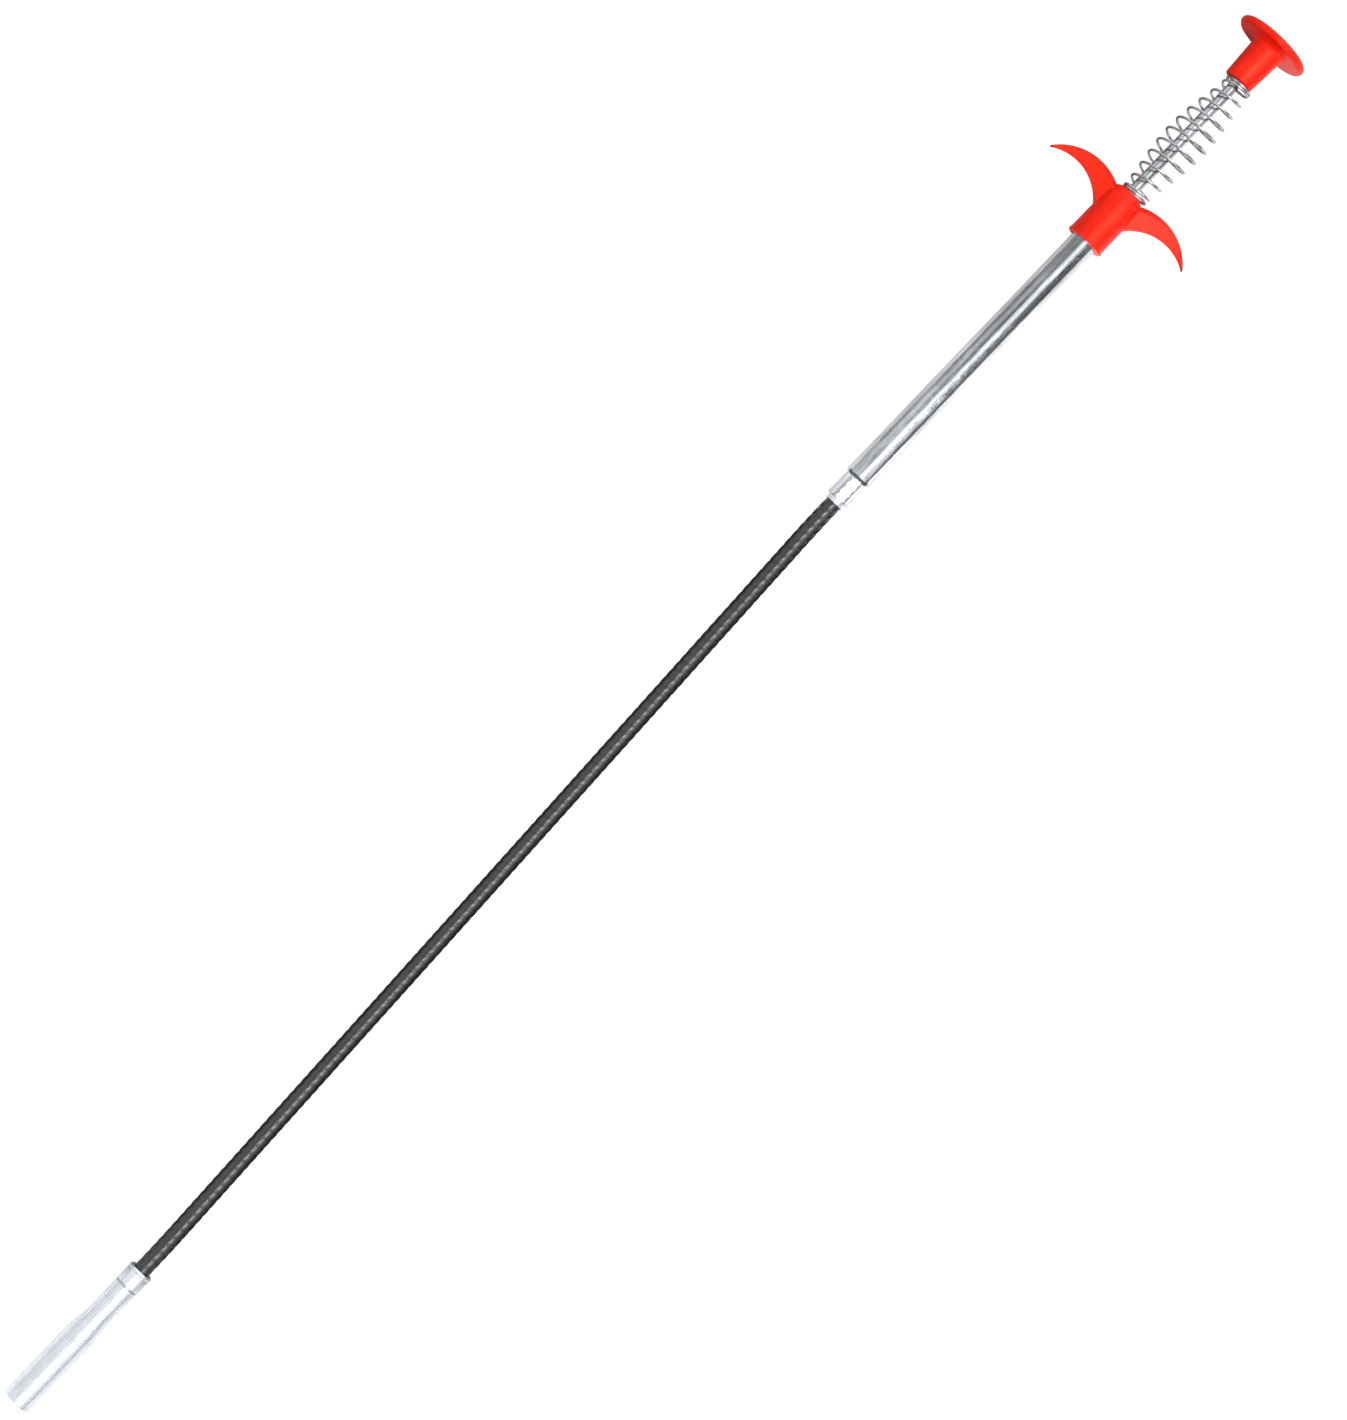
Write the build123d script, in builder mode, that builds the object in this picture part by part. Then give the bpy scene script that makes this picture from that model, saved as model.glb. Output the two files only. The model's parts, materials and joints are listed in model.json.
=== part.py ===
"""Flexible four-claw drain auger, lying flat.

The tool lies along X with the thumb button at +X and the claws at -X. The two finger horns spread along Y.
A rod under the thumb button pushes a stranded cable through a flexible shaft, and the cable pushes four
sprung claws out of the flared coil at the far end. A barrel spring brings the button back and closes them.
The handle and the claw guide are parallel to X. The shaft between them runs slightly askew and downhill,
because the guide lies on the surface while the button's wide disc holds the handle up.

Origin: middle of the length, middle of the width, on the surface that the tool lies on. +Z is up.
Every length is in millimetres.
"""

import os
from math import asin, cos, pi, radians, sin, sqrt

from build123d import *

# ---------------------------------------------------------------- driving dimensions
# lengths along the tool, from the claw end to the button
guide_barrel_length = 28.6
guide_flare_length = 10.8
guide_neck_length = 13.2
tip_ferrule_length = 7.2
shaft_length = 340.6
shaft_ring_length = 1.8
crimp_length = 9.6
tube_length = 107.2
hub_length = 21.9
spring_length = 50.9
button_neck_length = 15.2
disc_thickness = 3.0

# claw guide: a close-wound coil that opens out towards its mouth
guide_wire = 1.0
guide_barrel_od = 10.4
guide_neck_od = 8.5
guide_mouth_radius = 0.45

# ferrule that joins the claw guide to the shaft
tip_ferrule_od = 8.7
tip_ferrule_lip_od = 9.1
tip_ferrule_lip_length = 1.2
tip_ferrule_lip_radius = 0.35
tip_spigot_length = 8.0
tip_spigot_bore = 3.0
sleeve_insertion = 2.0
casing_stop_wall = 1.6

# flexible shaft: stranded cable inside a close-wound casing inside a black sleeve
cable_d = 1.9
casing_od = 5.1
casing_wire = 1.0
sleeve_wall = 0.45
shaft_bend_radius = 400.0
shaft_bend_inset = 10.0
tip_sideways = -10.4

# handle tube and the ferrule crimped into its end
tube_od = 9.6
tube_wall = 0.5
tube_seat_depth = 13.5
crimp_flat_depth = 1.0
crimp_corner_depth = 0.6
crimp_groove_width = 1.0
crimp_groove_depth = 0.75
crimp_wall = 0.4
tube_shoulder_length = 1.0
tube_end_chamfer = 0.6
shaft_ring_od = 6.7

# finger grip
hub_od = 13.3
hub_collar_od = 11.5
hub_collar_length = 3.0
hub_lip_od = 13.9
hub_lip_length = 1.0
rod_hole_d = 4.4
horn_tip_y = 29.9
horn_tip_back = 7.1
horn_root_y = 4.2
horn_root_half_thickness = 3.5
horn_tip_half_thickness = 0.9
horn_tip_width = 0.9
horn_bulge = 1.45
horn_bulge_y = 15.7
horn_web_back = 10.4
horn_web_y = 6.9
horn_waist_back = 4.3
horn_waist_y = 17.8
horn_section_count = 7
horn_front_bevel = 0.3
horn_back_bevel = 0.22
horn_front_flat = 0.25
horn_back_flat = 0.35

# plunger: its collar stops it on the bush, and its coupler stops it on the shaft's ferrule
stroke = 18.0
rod_d = 3.8
rod_clearance = 0.05
rod_in_button = 13.0
bush_length = 9.0
stop_collar_od = 6.4
stop_collar_length = 4.0
stop_gap = 0.1
coupler_od = 5.6
coupler_grip = 8.0
coupler_chamfer = 0.5
button_disc_od = 27.2
button_neck_od = 10.4
button_root_od = 12.0
button_root_fillet = 1.6
button_edge_radius = 1.3
thumb_dish_d = 20.0
thumb_dish_depth = 0.5

# return spring
spring_wire = 0.9
spring_end_od = 10.2
spring_middle_od = 15.8
spring_open_turns = 10
spring_closed_turns = 1
spring_end_gap = 0.05
spring_sideways = -1.2
spring_points_per_turn = 10

# claws
claw_width = 1.4
claw_thickness = 0.4
claw_bend_radius = 0.8
claw_hook_length = 3.2
claw_hook_turn = 76.0
claw_pivot_radius = 1.6
claw_tip_radius = 3.3
claw_root_length = 4.0
claw_mouth_gap = 1.6
claw_stagger = 1.4
claw_clocking = 20.0
claw_count = 4
block_front_inset = 1.8
block_od = 5.2
block_length = 8.0
block_cable_grip = 3.0
slot_clearance = 0.1
slot_floor_radius = 0.85
band_od = 6.0
band_length = 3.0

# ---------------------------------------------------------------- places worked out from them
total_length = (
    guide_barrel_length
    + guide_flare_length
    + guide_neck_length
    + tip_ferrule_length
    + shaft_length
    + shaft_ring_length
    + crimp_length
    + tube_length
    + hub_length
    + spring_length
    + button_neck_length
    + disc_thickness
)

mouth_x = -total_length / 2
flare_x = mouth_x + guide_barrel_length
guide_neck_x = flare_x + guide_flare_length
tip_ferrule_x = guide_neck_x + guide_neck_length
shaft_tip_x = tip_ferrule_x + tip_ferrule_length
shaft_handle_x = shaft_tip_x + shaft_length
crimp_x = shaft_handle_x + shaft_ring_length
tube_x = crimp_x + crimp_length
hub_x = tube_x + tube_length
hub_end_x = hub_x + hub_length
neck_x = hub_end_x + spring_length
disc_x = neck_x + button_neck_length
top_x = disc_x + disc_thickness

axis_z = button_disc_od / 2
tip_z = guide_barrel_od / 2

guide_barrel_r = guide_barrel_od / 2
guide_neck_r = guide_neck_od / 2
casing_r = casing_od / 2
casing_bore_r = casing_r - casing_wire
sleeve_r = casing_r + sleeve_wall
tube_r = tube_od / 2
tube_bore_r = tube_r - tube_wall
tube_end_x = hub_x + tube_seat_depth
crimp_flat_r = tube_r - crimp_flat_depth
crimp_corner_r = tube_r - crimp_corner_depth
crimp_groove_r = tube_r - crimp_groove_depth
shaft_ferrule_r = crimp_flat_r - crimp_wall
rod_r = rod_d / 2
bush_x = tube_end_x - bush_length
stop_collar_x = bush_x - stop_gap - stop_collar_length
rod_end_x = tube_x + stop_gap + stroke + coupler_grip
dish_r = ((thumb_dish_d / 2) ** 2 + thumb_dish_depth**2) / (2 * thumb_dish_depth)
casing_end_x = tip_ferrule_x + casing_stop_wall

claw_pivot_x = mouth_x + block_front_inset + stroke
claw_rise = claw_tip_radius - claw_pivot_radius
block_end_x = claw_pivot_x + block_length
cable_end_x = block_end_x - block_cable_grip

handle_line = Axis((0, 0, axis_z), (1, 0, 0))
tip_line = Axis((0, tip_sideways, tip_z), (1, 0, 0))
along_handle = Plane(origin=(0, 0, axis_z), x_dir=(1, 0, 0), z_dir=(0, -1, 0))
along_tip = Plane(origin=(0, tip_sideways, tip_z), x_dir=(1, 0, 0), z_dir=(0, -1, 0))


def across_handle(x):
    """Plane square to the handle at x, facing +X, with its own x along +Y."""
    return Plane(origin=(x, 0, axis_z), x_dir=(0, 1, 0), z_dir=(1, 0, 0))


def across_tip(x):
    """Plane square to the claw guide at x, facing +X, with its own x along +Y."""
    return Plane(origin=(x, tip_sideways, tip_z), x_dir=(0, 1, 0), z_dir=(1, 0, 0))


def shaft_route(from_x, to_x):
    """Corners of the shaft's centre line, from a point on the handle's axis to one on the guide's axis."""
    return [
        (from_x, 0, axis_z),
        (shaft_handle_x - shaft_bend_inset, 0, axis_z),
        (shaft_tip_x + shaft_bend_inset, tip_sideways, tip_z),
        (to_x, tip_sideways, tip_z),
    ]


def export(piece, label):
    """Labels a finished piece and writes its STEP file."""
    piece.part.label = label
    export_step(piece.part, f"parts/{label}.step")


os.makedirs("parts", exist_ok=True)

# ---------------------------------------------------------------- claw guide
# The turns touch, so the coil is one flared tube of the coil's outer and inner size.
with BuildPart() as claw_guide:
    with BuildSketch(along_tip):
        with BuildLine():
            outer_flare = Spline(
                (flare_x, guide_barrel_r),
                (guide_neck_x, guide_neck_r),
                tangents=[(1, 0), (1, 0)],
            )
            inner_flare = Spline(
                (guide_neck_x, guide_neck_r - guide_wire),
                (flare_x, guide_barrel_r - guide_wire),
                tangents=[(-1, 0), (-1, 0)],
            )
            Polyline(
                outer_flare @ 1,
                (tip_ferrule_x, guide_neck_r),
                (tip_ferrule_x, guide_neck_r - guide_wire),
                inner_flare @ 0,
            )
            Polyline(
                inner_flare @ 1,
                (mouth_x, guide_barrel_r - guide_wire),
                (mouth_x, guide_barrel_r),
                outer_flare @ 0,
            )
        make_face()
    revolve(axis=tip_line)
    mouth_edges = claw_guide.edges().filter_by(GeomType.CIRCLE).group_by(Axis.X)[0]
    fillet(mouth_edges, guide_mouth_radius)
export(claw_guide, "claw_guide")

# ---------------------------------------------------------------- tip ferrule
# Its spigot fills the guide's neck, and the shaft is pushed in from the other side.
with BuildPart() as tip_ferrule:
    with BuildSketch(across_tip(tip_ferrule_x)):
        Circle(tip_ferrule_od / 2)
    extrude(amount=tip_ferrule_length)
    with BuildSketch(across_tip(shaft_tip_x - tip_ferrule_lip_length)):
        Circle(tip_ferrule_lip_od / 2)
    extrude(amount=tip_ferrule_lip_length)
    fillet(tip_ferrule.edges().filter_by(GeomType.CIRCLE).group_by(Axis.X)[-1], tip_ferrule_lip_radius)
    with BuildSketch(across_tip(tip_ferrule_x - tip_spigot_length)):
        Circle(guide_neck_r - guide_wire)
    extrude(amount=tip_spigot_length)
    with BuildSketch(across_tip(tip_ferrule_x - tip_spigot_length)):
        Circle(tip_spigot_bore / 2)
    extrude(amount=tip_spigot_length + casing_stop_wall, mode=Mode.SUBTRACT)
    with BuildSketch(across_tip(casing_end_x)):
        Circle(casing_r)
    extrude(amount=tip_ferrule_length, mode=Mode.SUBTRACT)
    with BuildSketch(across_tip(shaft_tip_x - sleeve_insertion)):
        Circle(sleeve_r)
    extrude(amount=sleeve_insertion, mode=Mode.SUBTRACT)
export(tip_ferrule, "tip_ferrule")

# ---------------------------------------------------------------- flexible shaft
# The casing's turns touch too, so it is a plain tube.
with BuildPart() as casing_coil:
    with BuildLine() as casing_line:
        FilletPolyline(*shaft_route(tube_x, casing_end_x), radius=shaft_bend_radius)
    with BuildSketch(across_handle(tube_x)):
        Circle(casing_r)
        Circle(casing_bore_r, mode=Mode.SUBTRACT)
    sweep(path=casing_line.wire())
export(casing_coil, "casing_coil")

with BuildPart() as shaft_sleeve:
    with BuildLine() as sleeve_line:
        FilletPolyline(
            *shaft_route(shaft_handle_x, shaft_tip_x - sleeve_insertion),
            radius=shaft_bend_radius,
        )
    with BuildSketch(across_handle(shaft_handle_x)):
        Circle(sleeve_r)
        Circle(casing_r, mode=Mode.SUBTRACT)
    sweep(path=sleeve_line.wire())
export(shaft_sleeve, "shaft_sleeve")

with BuildPart() as drive_cable:
    with BuildLine() as cable_line:
        FilletPolyline(*shaft_route(rod_end_x, cable_end_x), radius=shaft_bend_radius)
    with BuildSketch(across_handle(rod_end_x)):
        Circle(cable_d / 2)
    sweep(path=cable_line.wire())
export(drive_cable, "drive_cable")

# ---------------------------------------------------------------- handle tube
with BuildPart() as handle_tube:
    with BuildSketch(across_handle(tube_x)):
        Circle(tube_r)
    extrude(amount=tube_end_x - tube_x)
    chamfer(handle_tube.edges().group_by(Axis.X)[0], tube_end_chamfer)
    with BuildSketch(across_handle(tube_x - crimp_groove_width)):
        Circle(crimp_groove_r)
    extrude(amount=crimp_groove_width)
    with BuildSketch(across_handle(crimp_x)):
        Circle(crimp_corner_r)
        RegularPolygon(crimp_flat_r, 6, major_radius=False, mode=Mode.INTERSECT)
    extrude(amount=crimp_length - crimp_groove_width)
    with BuildSketch(across_handle(crimp_x)):
        Circle(shaft_ferrule_r)
    extrude(amount=crimp_length + tube_shoulder_length, mode=Mode.SUBTRACT)
    with BuildSketch(across_handle(tube_x + tube_shoulder_length)):
        Circle(tube_bore_r)
    extrude(amount=tube_end_x - tube_x - tube_shoulder_length, mode=Mode.SUBTRACT)
export(handle_tube, "handle_tube")

# The ferrule inside the crimp holds the casing, and its ring shows between the tube and the sleeve.
with BuildPart() as shaft_ferrule:
    with BuildSketch(across_handle(shaft_handle_x)):
        Circle(shaft_ring_od / 2)
    extrude(amount=shaft_ring_length)
    with BuildSketch(across_handle(crimp_x)):
        Circle(shaft_ferrule_r)
    extrude(amount=crimp_length)
    with BuildSketch(across_handle(shaft_handle_x)):
        Circle(casing_r)
    extrude(amount=shaft_ring_length + crimp_length, mode=Mode.SUBTRACT)
export(shaft_ferrule, "shaft_ferrule")


# ---------------------------------------------------------------- finger grip
def arc_x(y, start, middle, end):
    """Where the circle through three (x, y) points lies at y, on its +X side."""
    (x1, y1), (x2, y2), (x3, y3) = start, middle, end
    d = 2 * (x1 * (y2 - y3) + x2 * (y3 - y1) + x3 * (y1 - y2))
    s1, s2, s3 = x1**2 + y1**2, x2**2 + y2**2, x3**2 + y3**2
    cx = (s1 * (y2 - y3) + s2 * (y3 - y1) + s3 * (y1 - y2)) / d
    cy = (s1 * (x3 - x2) + s2 * (x1 - x3) + s3 * (x2 - x1)) / d
    return cx + sqrt((x1 - cx) ** 2 + (y1 - cy) ** 2 - (y - cy) ** 2)


def horn_section(y):
    """Back and front x, and half thickness, of a horn at the distance y from the handle's axis."""
    share = (y - horn_root_y) / (horn_tip_y - horn_root_y)
    front_tip = (-horn_tip_back + horn_tip_width, horn_tip_y)
    front = arc_x(y, front_tip, (horn_bulge, horn_bulge_y), (0, hub_od / 2))
    back_tip = (-horn_tip_back, horn_tip_y)
    back = arc_x(y, back_tip, (-horn_waist_back, horn_waist_y), (-horn_web_back, horn_web_y))
    half = horn_root_half_thickness + (horn_tip_half_thickness - horn_root_half_thickness) * share
    return hub_end_x + back, hub_end_x + front, half


def horn_outline(back, front, half):
    """Eight-sided section of a horn, with a bevel along the front and a narrower one along the back."""
    front_bevel = front - horn_front_bevel * (front - back)
    back_bevel = back + horn_back_bevel * (front - back)
    return [
        (front, horn_front_flat * half),
        (front_bevel, half),
        (back_bevel, half),
        (back, horn_back_flat * half),
        (back, -horn_back_flat * half),
        (back_bevel, -half),
        (front_bevel, -half),
        (front, -horn_front_flat * half),
    ]


with BuildPart() as finger_grip:
    # the two horns, lofted outwards and mirrored
    for step in range(horn_section_count):
        share = step / (horn_section_count - 1)
        y = horn_root_y + (horn_tip_y - horn_root_y) * share
        with BuildSketch(Plane(origin=(0, y, axis_z), x_dir=(1, 0, 0), z_dir=(0, 1, 0))):
            with BuildLine():
                Polyline(*horn_outline(*horn_section(y)), close=True)
            make_face()
    loft()
    mirror(about=Plane.XZ)
    # hub with a lip at the tube end and a collar at the spring end
    with BuildSketch(across_handle(hub_x)):
        Circle(hub_od / 2)
    extrude(amount=hub_length - hub_collar_length)
    with BuildSketch(across_handle(hub_x)):
        Circle(hub_lip_od / 2)
    extrude(amount=hub_lip_length)
    with BuildSketch(across_handle(hub_end_x - hub_collar_length)):
        Circle(hub_collar_od / 2)
    extrude(amount=hub_collar_length)
    with BuildSketch(across_handle(hub_x)):
        Circle(tube_r)
    extrude(amount=tube_seat_depth, mode=Mode.SUBTRACT)
    with BuildSketch(across_handle(tube_end_x)):
        Circle(rod_hole_d / 2)
    extrude(amount=hub_length - tube_seat_depth, mode=Mode.SUBTRACT)
export(finger_grip, "finger_grip")

# ---------------------------------------------------------------- rod guide
with BuildPart() as rod_bush:
    with BuildSketch(across_handle(bush_x)):
        Circle(tube_bore_r)
        Circle(rod_r + rod_clearance, mode=Mode.SUBTRACT)
    extrude(amount=bush_length)
export(rod_bush, "rod_bush")

# ---------------------------------------------------------------- plunger
with BuildPart() as thumb_button:
    with BuildSketch(along_handle):
        with BuildLine():
            neck_side = Line((neck_x, button_neck_od / 2), (disc_x, button_root_od / 2))
            underside = Line(neck_side @ 1, (disc_x, button_disc_od / 2))
            rim = Line(underside @ 1, (top_x, button_disc_od / 2))
            Polyline(rim @ 1, (top_x, 0), (neck_x, 0), neck_side @ 0)
        make_face()
    revolve(axis=handle_line)
    circles = thumb_button.edges().filter_by(GeomType.CIRCLE)
    fillet(circles.filter_by(lambda e: abs(e.radius - button_disc_od / 2) < 0.01), button_edge_radius)
    circles = thumb_button.edges().filter_by(GeomType.CIRCLE)
    fillet(circles.filter_by(lambda e: abs(e.radius - button_root_od / 2) < 0.01), button_root_fillet)
    with Locations((top_x - thumb_dish_depth + dish_r, 0, axis_z)):
        Sphere(dish_r, mode=Mode.SUBTRACT)
    with BuildSketch(across_handle(neck_x)):
        Circle(rod_r)
    extrude(amount=rod_in_button, mode=Mode.SUBTRACT)
export(thumb_button, "thumb_button")

with BuildPart() as plunger_rod:
    with BuildSketch(across_handle(rod_end_x)):
        Circle(rod_r)
    extrude(amount=neck_x + rod_in_button - rod_end_x)
export(plunger_rod, "plunger_rod")

with BuildPart() as stop_collar:
    with BuildSketch(across_handle(stop_collar_x)):
        Circle(stop_collar_od / 2)
        Circle(rod_r, mode=Mode.SUBTRACT)
    extrude(amount=stop_collar_length)
export(stop_collar, "stop_collar")

# The coupler is crimped on the rod's end and on the cable's end.
with BuildPart() as rod_coupler:
    with BuildSketch(across_handle(rod_end_x - coupler_grip)):
        Circle(coupler_od / 2)
    extrude(amount=2 * coupler_grip)
    chamfer(rod_coupler.edges().filter_by(GeomType.CIRCLE), coupler_chamfer)
    with BuildSketch(across_handle(rod_end_x)):
        Circle(rod_r)
    extrude(amount=coupler_grip, mode=Mode.SUBTRACT)
    with BuildSketch(across_handle(rod_end_x - coupler_grip)):
        Circle(cable_d / 2)
    extrude(amount=coupler_grip, mode=Mode.SUBTRACT)
export(rod_coupler, "rod_coupler")


# ---------------------------------------------------------------- return spring
def spring_point(turn):
    """Point on the spring's wire, a number of turns from its hub end. The coil swells and sits to one side."""
    closed, turns = spring_closed_turns, 2 * spring_closed_turns + spring_open_turns
    first = hub_end_x + spring_end_gap + spring_wire / 2
    last = neck_x - spring_end_gap - spring_wire / 2
    pitch = (last - first - 2 * closed * spring_wire) / spring_open_turns
    if turn <= closed:
        x = first + turn * spring_wire
    elif turn >= turns - closed:
        x = last - (turns - turn) * spring_wire
    else:
        x = first + closed * spring_wire + (turn - closed) * pitch
    share = (x - first) / (last - first)
    swell = (spring_middle_od - spring_end_od) / 2 * sin(pi * share) ** 2
    radius = (spring_end_od - spring_wire) / 2 + swell
    angle = 2 * pi * turn
    return (x, spring_sideways + radius * cos(angle), axis_z + radius * sin(angle))


spring_turns = 2 * spring_closed_turns + spring_open_turns
spring_steps = spring_turns * spring_points_per_turn
with BuildPart() as return_spring:
    with BuildLine() as spring_line:
        Spline(*[spring_point(i / spring_points_per_turn) for i in range(spring_steps + 1)])
    with BuildSketch(Plane(origin=spring_line.line @ 0, z_dir=spring_line.line % 0)):
        Circle(spring_wire / 2)
    sweep(path=spring_line.wire(), is_frenet=True)
export(return_spring, "return_spring")


# ---------------------------------------------------------------- claws
def claw_plane(number):
    """Plane through the guide's axis for one claw: its own x is +X and its own y points outwards."""
    angle = radians(claw_clocking + 360 * number / claw_count)
    outward = Vector(0, cos(angle), sin(angle))
    return Plane(origin=(0, tip_sideways, tip_z), x_dir=(1, 0, 0), z_dir=Vector(1, 0, 0).cross(outward))


def claw_corners(number):
    """Root, bend and hook end of a claw's middle line, as (x, radius). Every other claw is shorter."""
    bend_x = mouth_x + claw_mouth_gap + claw_stagger * (number % 2)
    reach = claw_pivot_x - bend_x
    lean = asin(claw_rise / sqrt(reach**2 + claw_rise**2))
    hook = lean - radians(claw_hook_turn)
    root = (
        claw_pivot_x + claw_root_length * cos(lean),
        claw_pivot_radius - claw_root_length * sin(lean),
    )
    bend = (bend_x, claw_tip_radius)
    end = (bend_x - claw_hook_length * cos(hook), claw_tip_radius + claw_hook_length * sin(hook))
    return root, bend, end


for number in range(claw_count):
    with BuildPart() as claw:
        with BuildLine(claw_plane(number)) as claw_line:
            FilletPolyline(*claw_corners(number), radius=claw_bend_radius)
        strip = claw_line.wire()
        with BuildSketch(Plane(origin=strip @ 0, x_dir=claw_plane(number).z_dir, z_dir=strip % 0)):
            Rectangle(claw_width, claw_thickness)
        sweep(path=strip)
    export(claw, f"claw_{number + 1}")

# The block is slotted from the front for the claws and drilled from the back for the cable.
with BuildPart() as claw_block:
    with BuildSketch(across_tip(claw_pivot_x)):
        Circle(block_od / 2)
    extrude(amount=block_length)
    with BuildSketch(across_tip(claw_pivot_x)):
        with PolarLocations(0, claw_count, start_angle=claw_clocking):
            with Locations((slot_floor_radius + block_od / 4, 0)):
                Rectangle(block_od / 2, claw_width + slot_clearance)
    extrude(amount=claw_root_length + slot_clearance, mode=Mode.SUBTRACT)
    with BuildSketch(across_tip(cable_end_x)):
        Circle(cable_d / 2)
    extrude(amount=block_cable_grip, mode=Mode.SUBTRACT)
export(claw_block, "claw_block")

with BuildPart() as claw_band:
    with BuildSketch(across_tip(claw_pivot_x)):
        Circle(band_od / 2)
        Circle(block_od / 2, mode=Mode.SUBTRACT)
    extrude(amount=band_length)
export(claw_band, "claw_band")

print("overall length", round(total_length, 2), "axis height", axis_z)
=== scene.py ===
"""The looks of a four-claw drain auger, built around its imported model.

The tool lies along X with its thumb button at +X and its claws at -X. Lengths are in metres.
"""

import json
from itertools import pairwise
from math import asin, atan2, cos, exp, hypot, pi, radians, sin, tau

import bpy
from bpy.props import FloatProperty, FloatVectorProperty, IntProperty, PointerProperty
from mathutils import Matrix, Vector


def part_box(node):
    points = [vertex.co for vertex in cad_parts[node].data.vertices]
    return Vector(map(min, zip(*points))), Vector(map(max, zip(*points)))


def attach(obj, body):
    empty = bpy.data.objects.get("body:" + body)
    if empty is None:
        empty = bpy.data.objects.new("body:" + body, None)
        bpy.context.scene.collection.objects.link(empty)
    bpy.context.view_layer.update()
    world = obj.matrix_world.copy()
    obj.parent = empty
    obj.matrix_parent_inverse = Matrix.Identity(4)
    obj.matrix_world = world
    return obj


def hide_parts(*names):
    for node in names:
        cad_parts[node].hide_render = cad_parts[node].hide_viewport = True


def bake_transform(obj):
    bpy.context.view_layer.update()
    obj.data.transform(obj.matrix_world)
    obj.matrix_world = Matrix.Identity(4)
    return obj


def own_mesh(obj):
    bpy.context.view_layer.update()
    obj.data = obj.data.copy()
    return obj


bl_info = {
    "name": "Drain auger",
    "version": (1, 0, 0),
    "blender": (4, 5, 0),
    "location": "View3D > Sidebar > Auger",
    "description": "Models a drain auger with a thumb plunger, a flexible shaft and four claws",
    "category": "Add Mesh",
}

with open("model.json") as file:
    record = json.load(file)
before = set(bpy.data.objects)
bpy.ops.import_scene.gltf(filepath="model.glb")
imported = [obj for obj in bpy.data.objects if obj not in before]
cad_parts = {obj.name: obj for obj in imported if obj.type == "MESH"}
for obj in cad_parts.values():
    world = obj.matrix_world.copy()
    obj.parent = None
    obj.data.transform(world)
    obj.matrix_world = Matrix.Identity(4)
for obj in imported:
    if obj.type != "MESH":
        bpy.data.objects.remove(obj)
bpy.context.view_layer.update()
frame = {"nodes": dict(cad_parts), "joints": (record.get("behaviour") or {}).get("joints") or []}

MM = 0.001


# ---------------------------------------------------------------- places in the frame
def ends(node):
    """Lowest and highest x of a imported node."""
    low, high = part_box(node)
    return low.x, high.x


def middle(node):
    """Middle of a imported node's box."""
    low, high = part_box(node)
    return (low + high) / 2


def reach(node):
    """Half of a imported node's height."""
    low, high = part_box(node)
    return (high.z - low.z) / 2


handle_axis = Vector((0, 0, middle("handle_tube").z))
guide_axis = Vector((0, middle("claw_guide").y, middle("claw_guide").z))
mouth_x, guide_back_x = ends("claw_guide")
spigot_x, shaft_tip_x = ends("tip_ferrule")
sleeve_tip_x, shaft_handle_x = ends("shaft_sleeve")
crimp_x, tube_end_x = ends("handle_tube")
tube_x = ends("shaft_ferrule")[1]
hub_x = ends("finger_grip")[0]
spring_low_x, spring_high_x = ends("return_spring")
neck_x, top_x = ends("thumb_button")
cable_low_x, cable_high_x = ends("drive_cable")
horn_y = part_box("finger_grip")[1].y
hinges = {j["name"]: Vector(j["pos_m"]) for j in frame["joints"] if j["type"] == "hinge"}


# ---------------------------------------------------------------- sizes and colours that a user would change
def length(name, description, millimetres):
    """A length property whose default is given in millimetres."""
    return FloatProperty(
        name=name,
        description=description,
        default=millimetres * MM,
        min=0.0,
        unit="LENGTH",
        subtype="DISTANCE",
        precision=5,
    )


def colour(name, description, value):
    """A colour property."""
    return FloatVectorProperty(
        name=name,
        description=description,
        default=value,
        size=3,
        min=0.0,
        max=1.0,
        subtype="COLOR",
    )


class ButtonSizes(bpy.types.PropertyGroup):
    """Sizes of the thumb button."""

    neck_radius: length("Neck", "Radius of the neck at the spring", 5.2)
    root_radius: length("Root", "Radius of the neck under the disc", 5.95)
    disc_thickness: length("Disc", "Thickness of the disc", 3.0)
    dish_radius: length("Dish", "Radius of the hollow for the thumb", 10.0)
    dish_depth: length("Dish depth", "Depth of the hollow for the thumb", 0.5)
    bore_radius: length("Bore", "Radius of the hole for the rod", 1.9)


class SpringSizes(bpy.types.PropertyGroup):
    """Sizes of the return spring."""

    wire_radius: length("Wire", "Radius of the spring's wire", 0.45)
    end_radius: length("Ends", "Radius to the middle of the wire at the ends", 4.65)
    swell: length("Swell", "How much wider the middle of the spring is", 2.8)
    sideways: FloatProperty(
        name="Sideways",
        description="How far the spring sits to one side of the rod",
        default=-1.2 * MM,
        unit="LENGTH",
        subtype="DISTANCE",
        precision=5,
    )
    open_turns: IntProperty(name="Turns", description="Open turns of the spring", default=10, min=1)


class GripSizes(bpy.types.PropertyGroup):
    """Sizes of the finger grip."""

    hub_radius: length("Hub", "Radius of the hub", 6.65)
    lip_radius: length("Lip", "Radius of the lip at the tube", 6.95)
    collar_radius: length("Collar", "Radius of the collar at the spring", 5.75)
    collar_length: length("Collar length", "Length of the collar", 3.0)
    horn_back: length("Horn sweep", "How far a horn's tip lies behind the spring end of the hub", 7.1)
    horn_root: length("Horn root", "Half thickness of a horn at the hub", 3.4)
    horn_tip: length("Horn tip", "Half thickness of a horn at its tip", 0.8)


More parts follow.
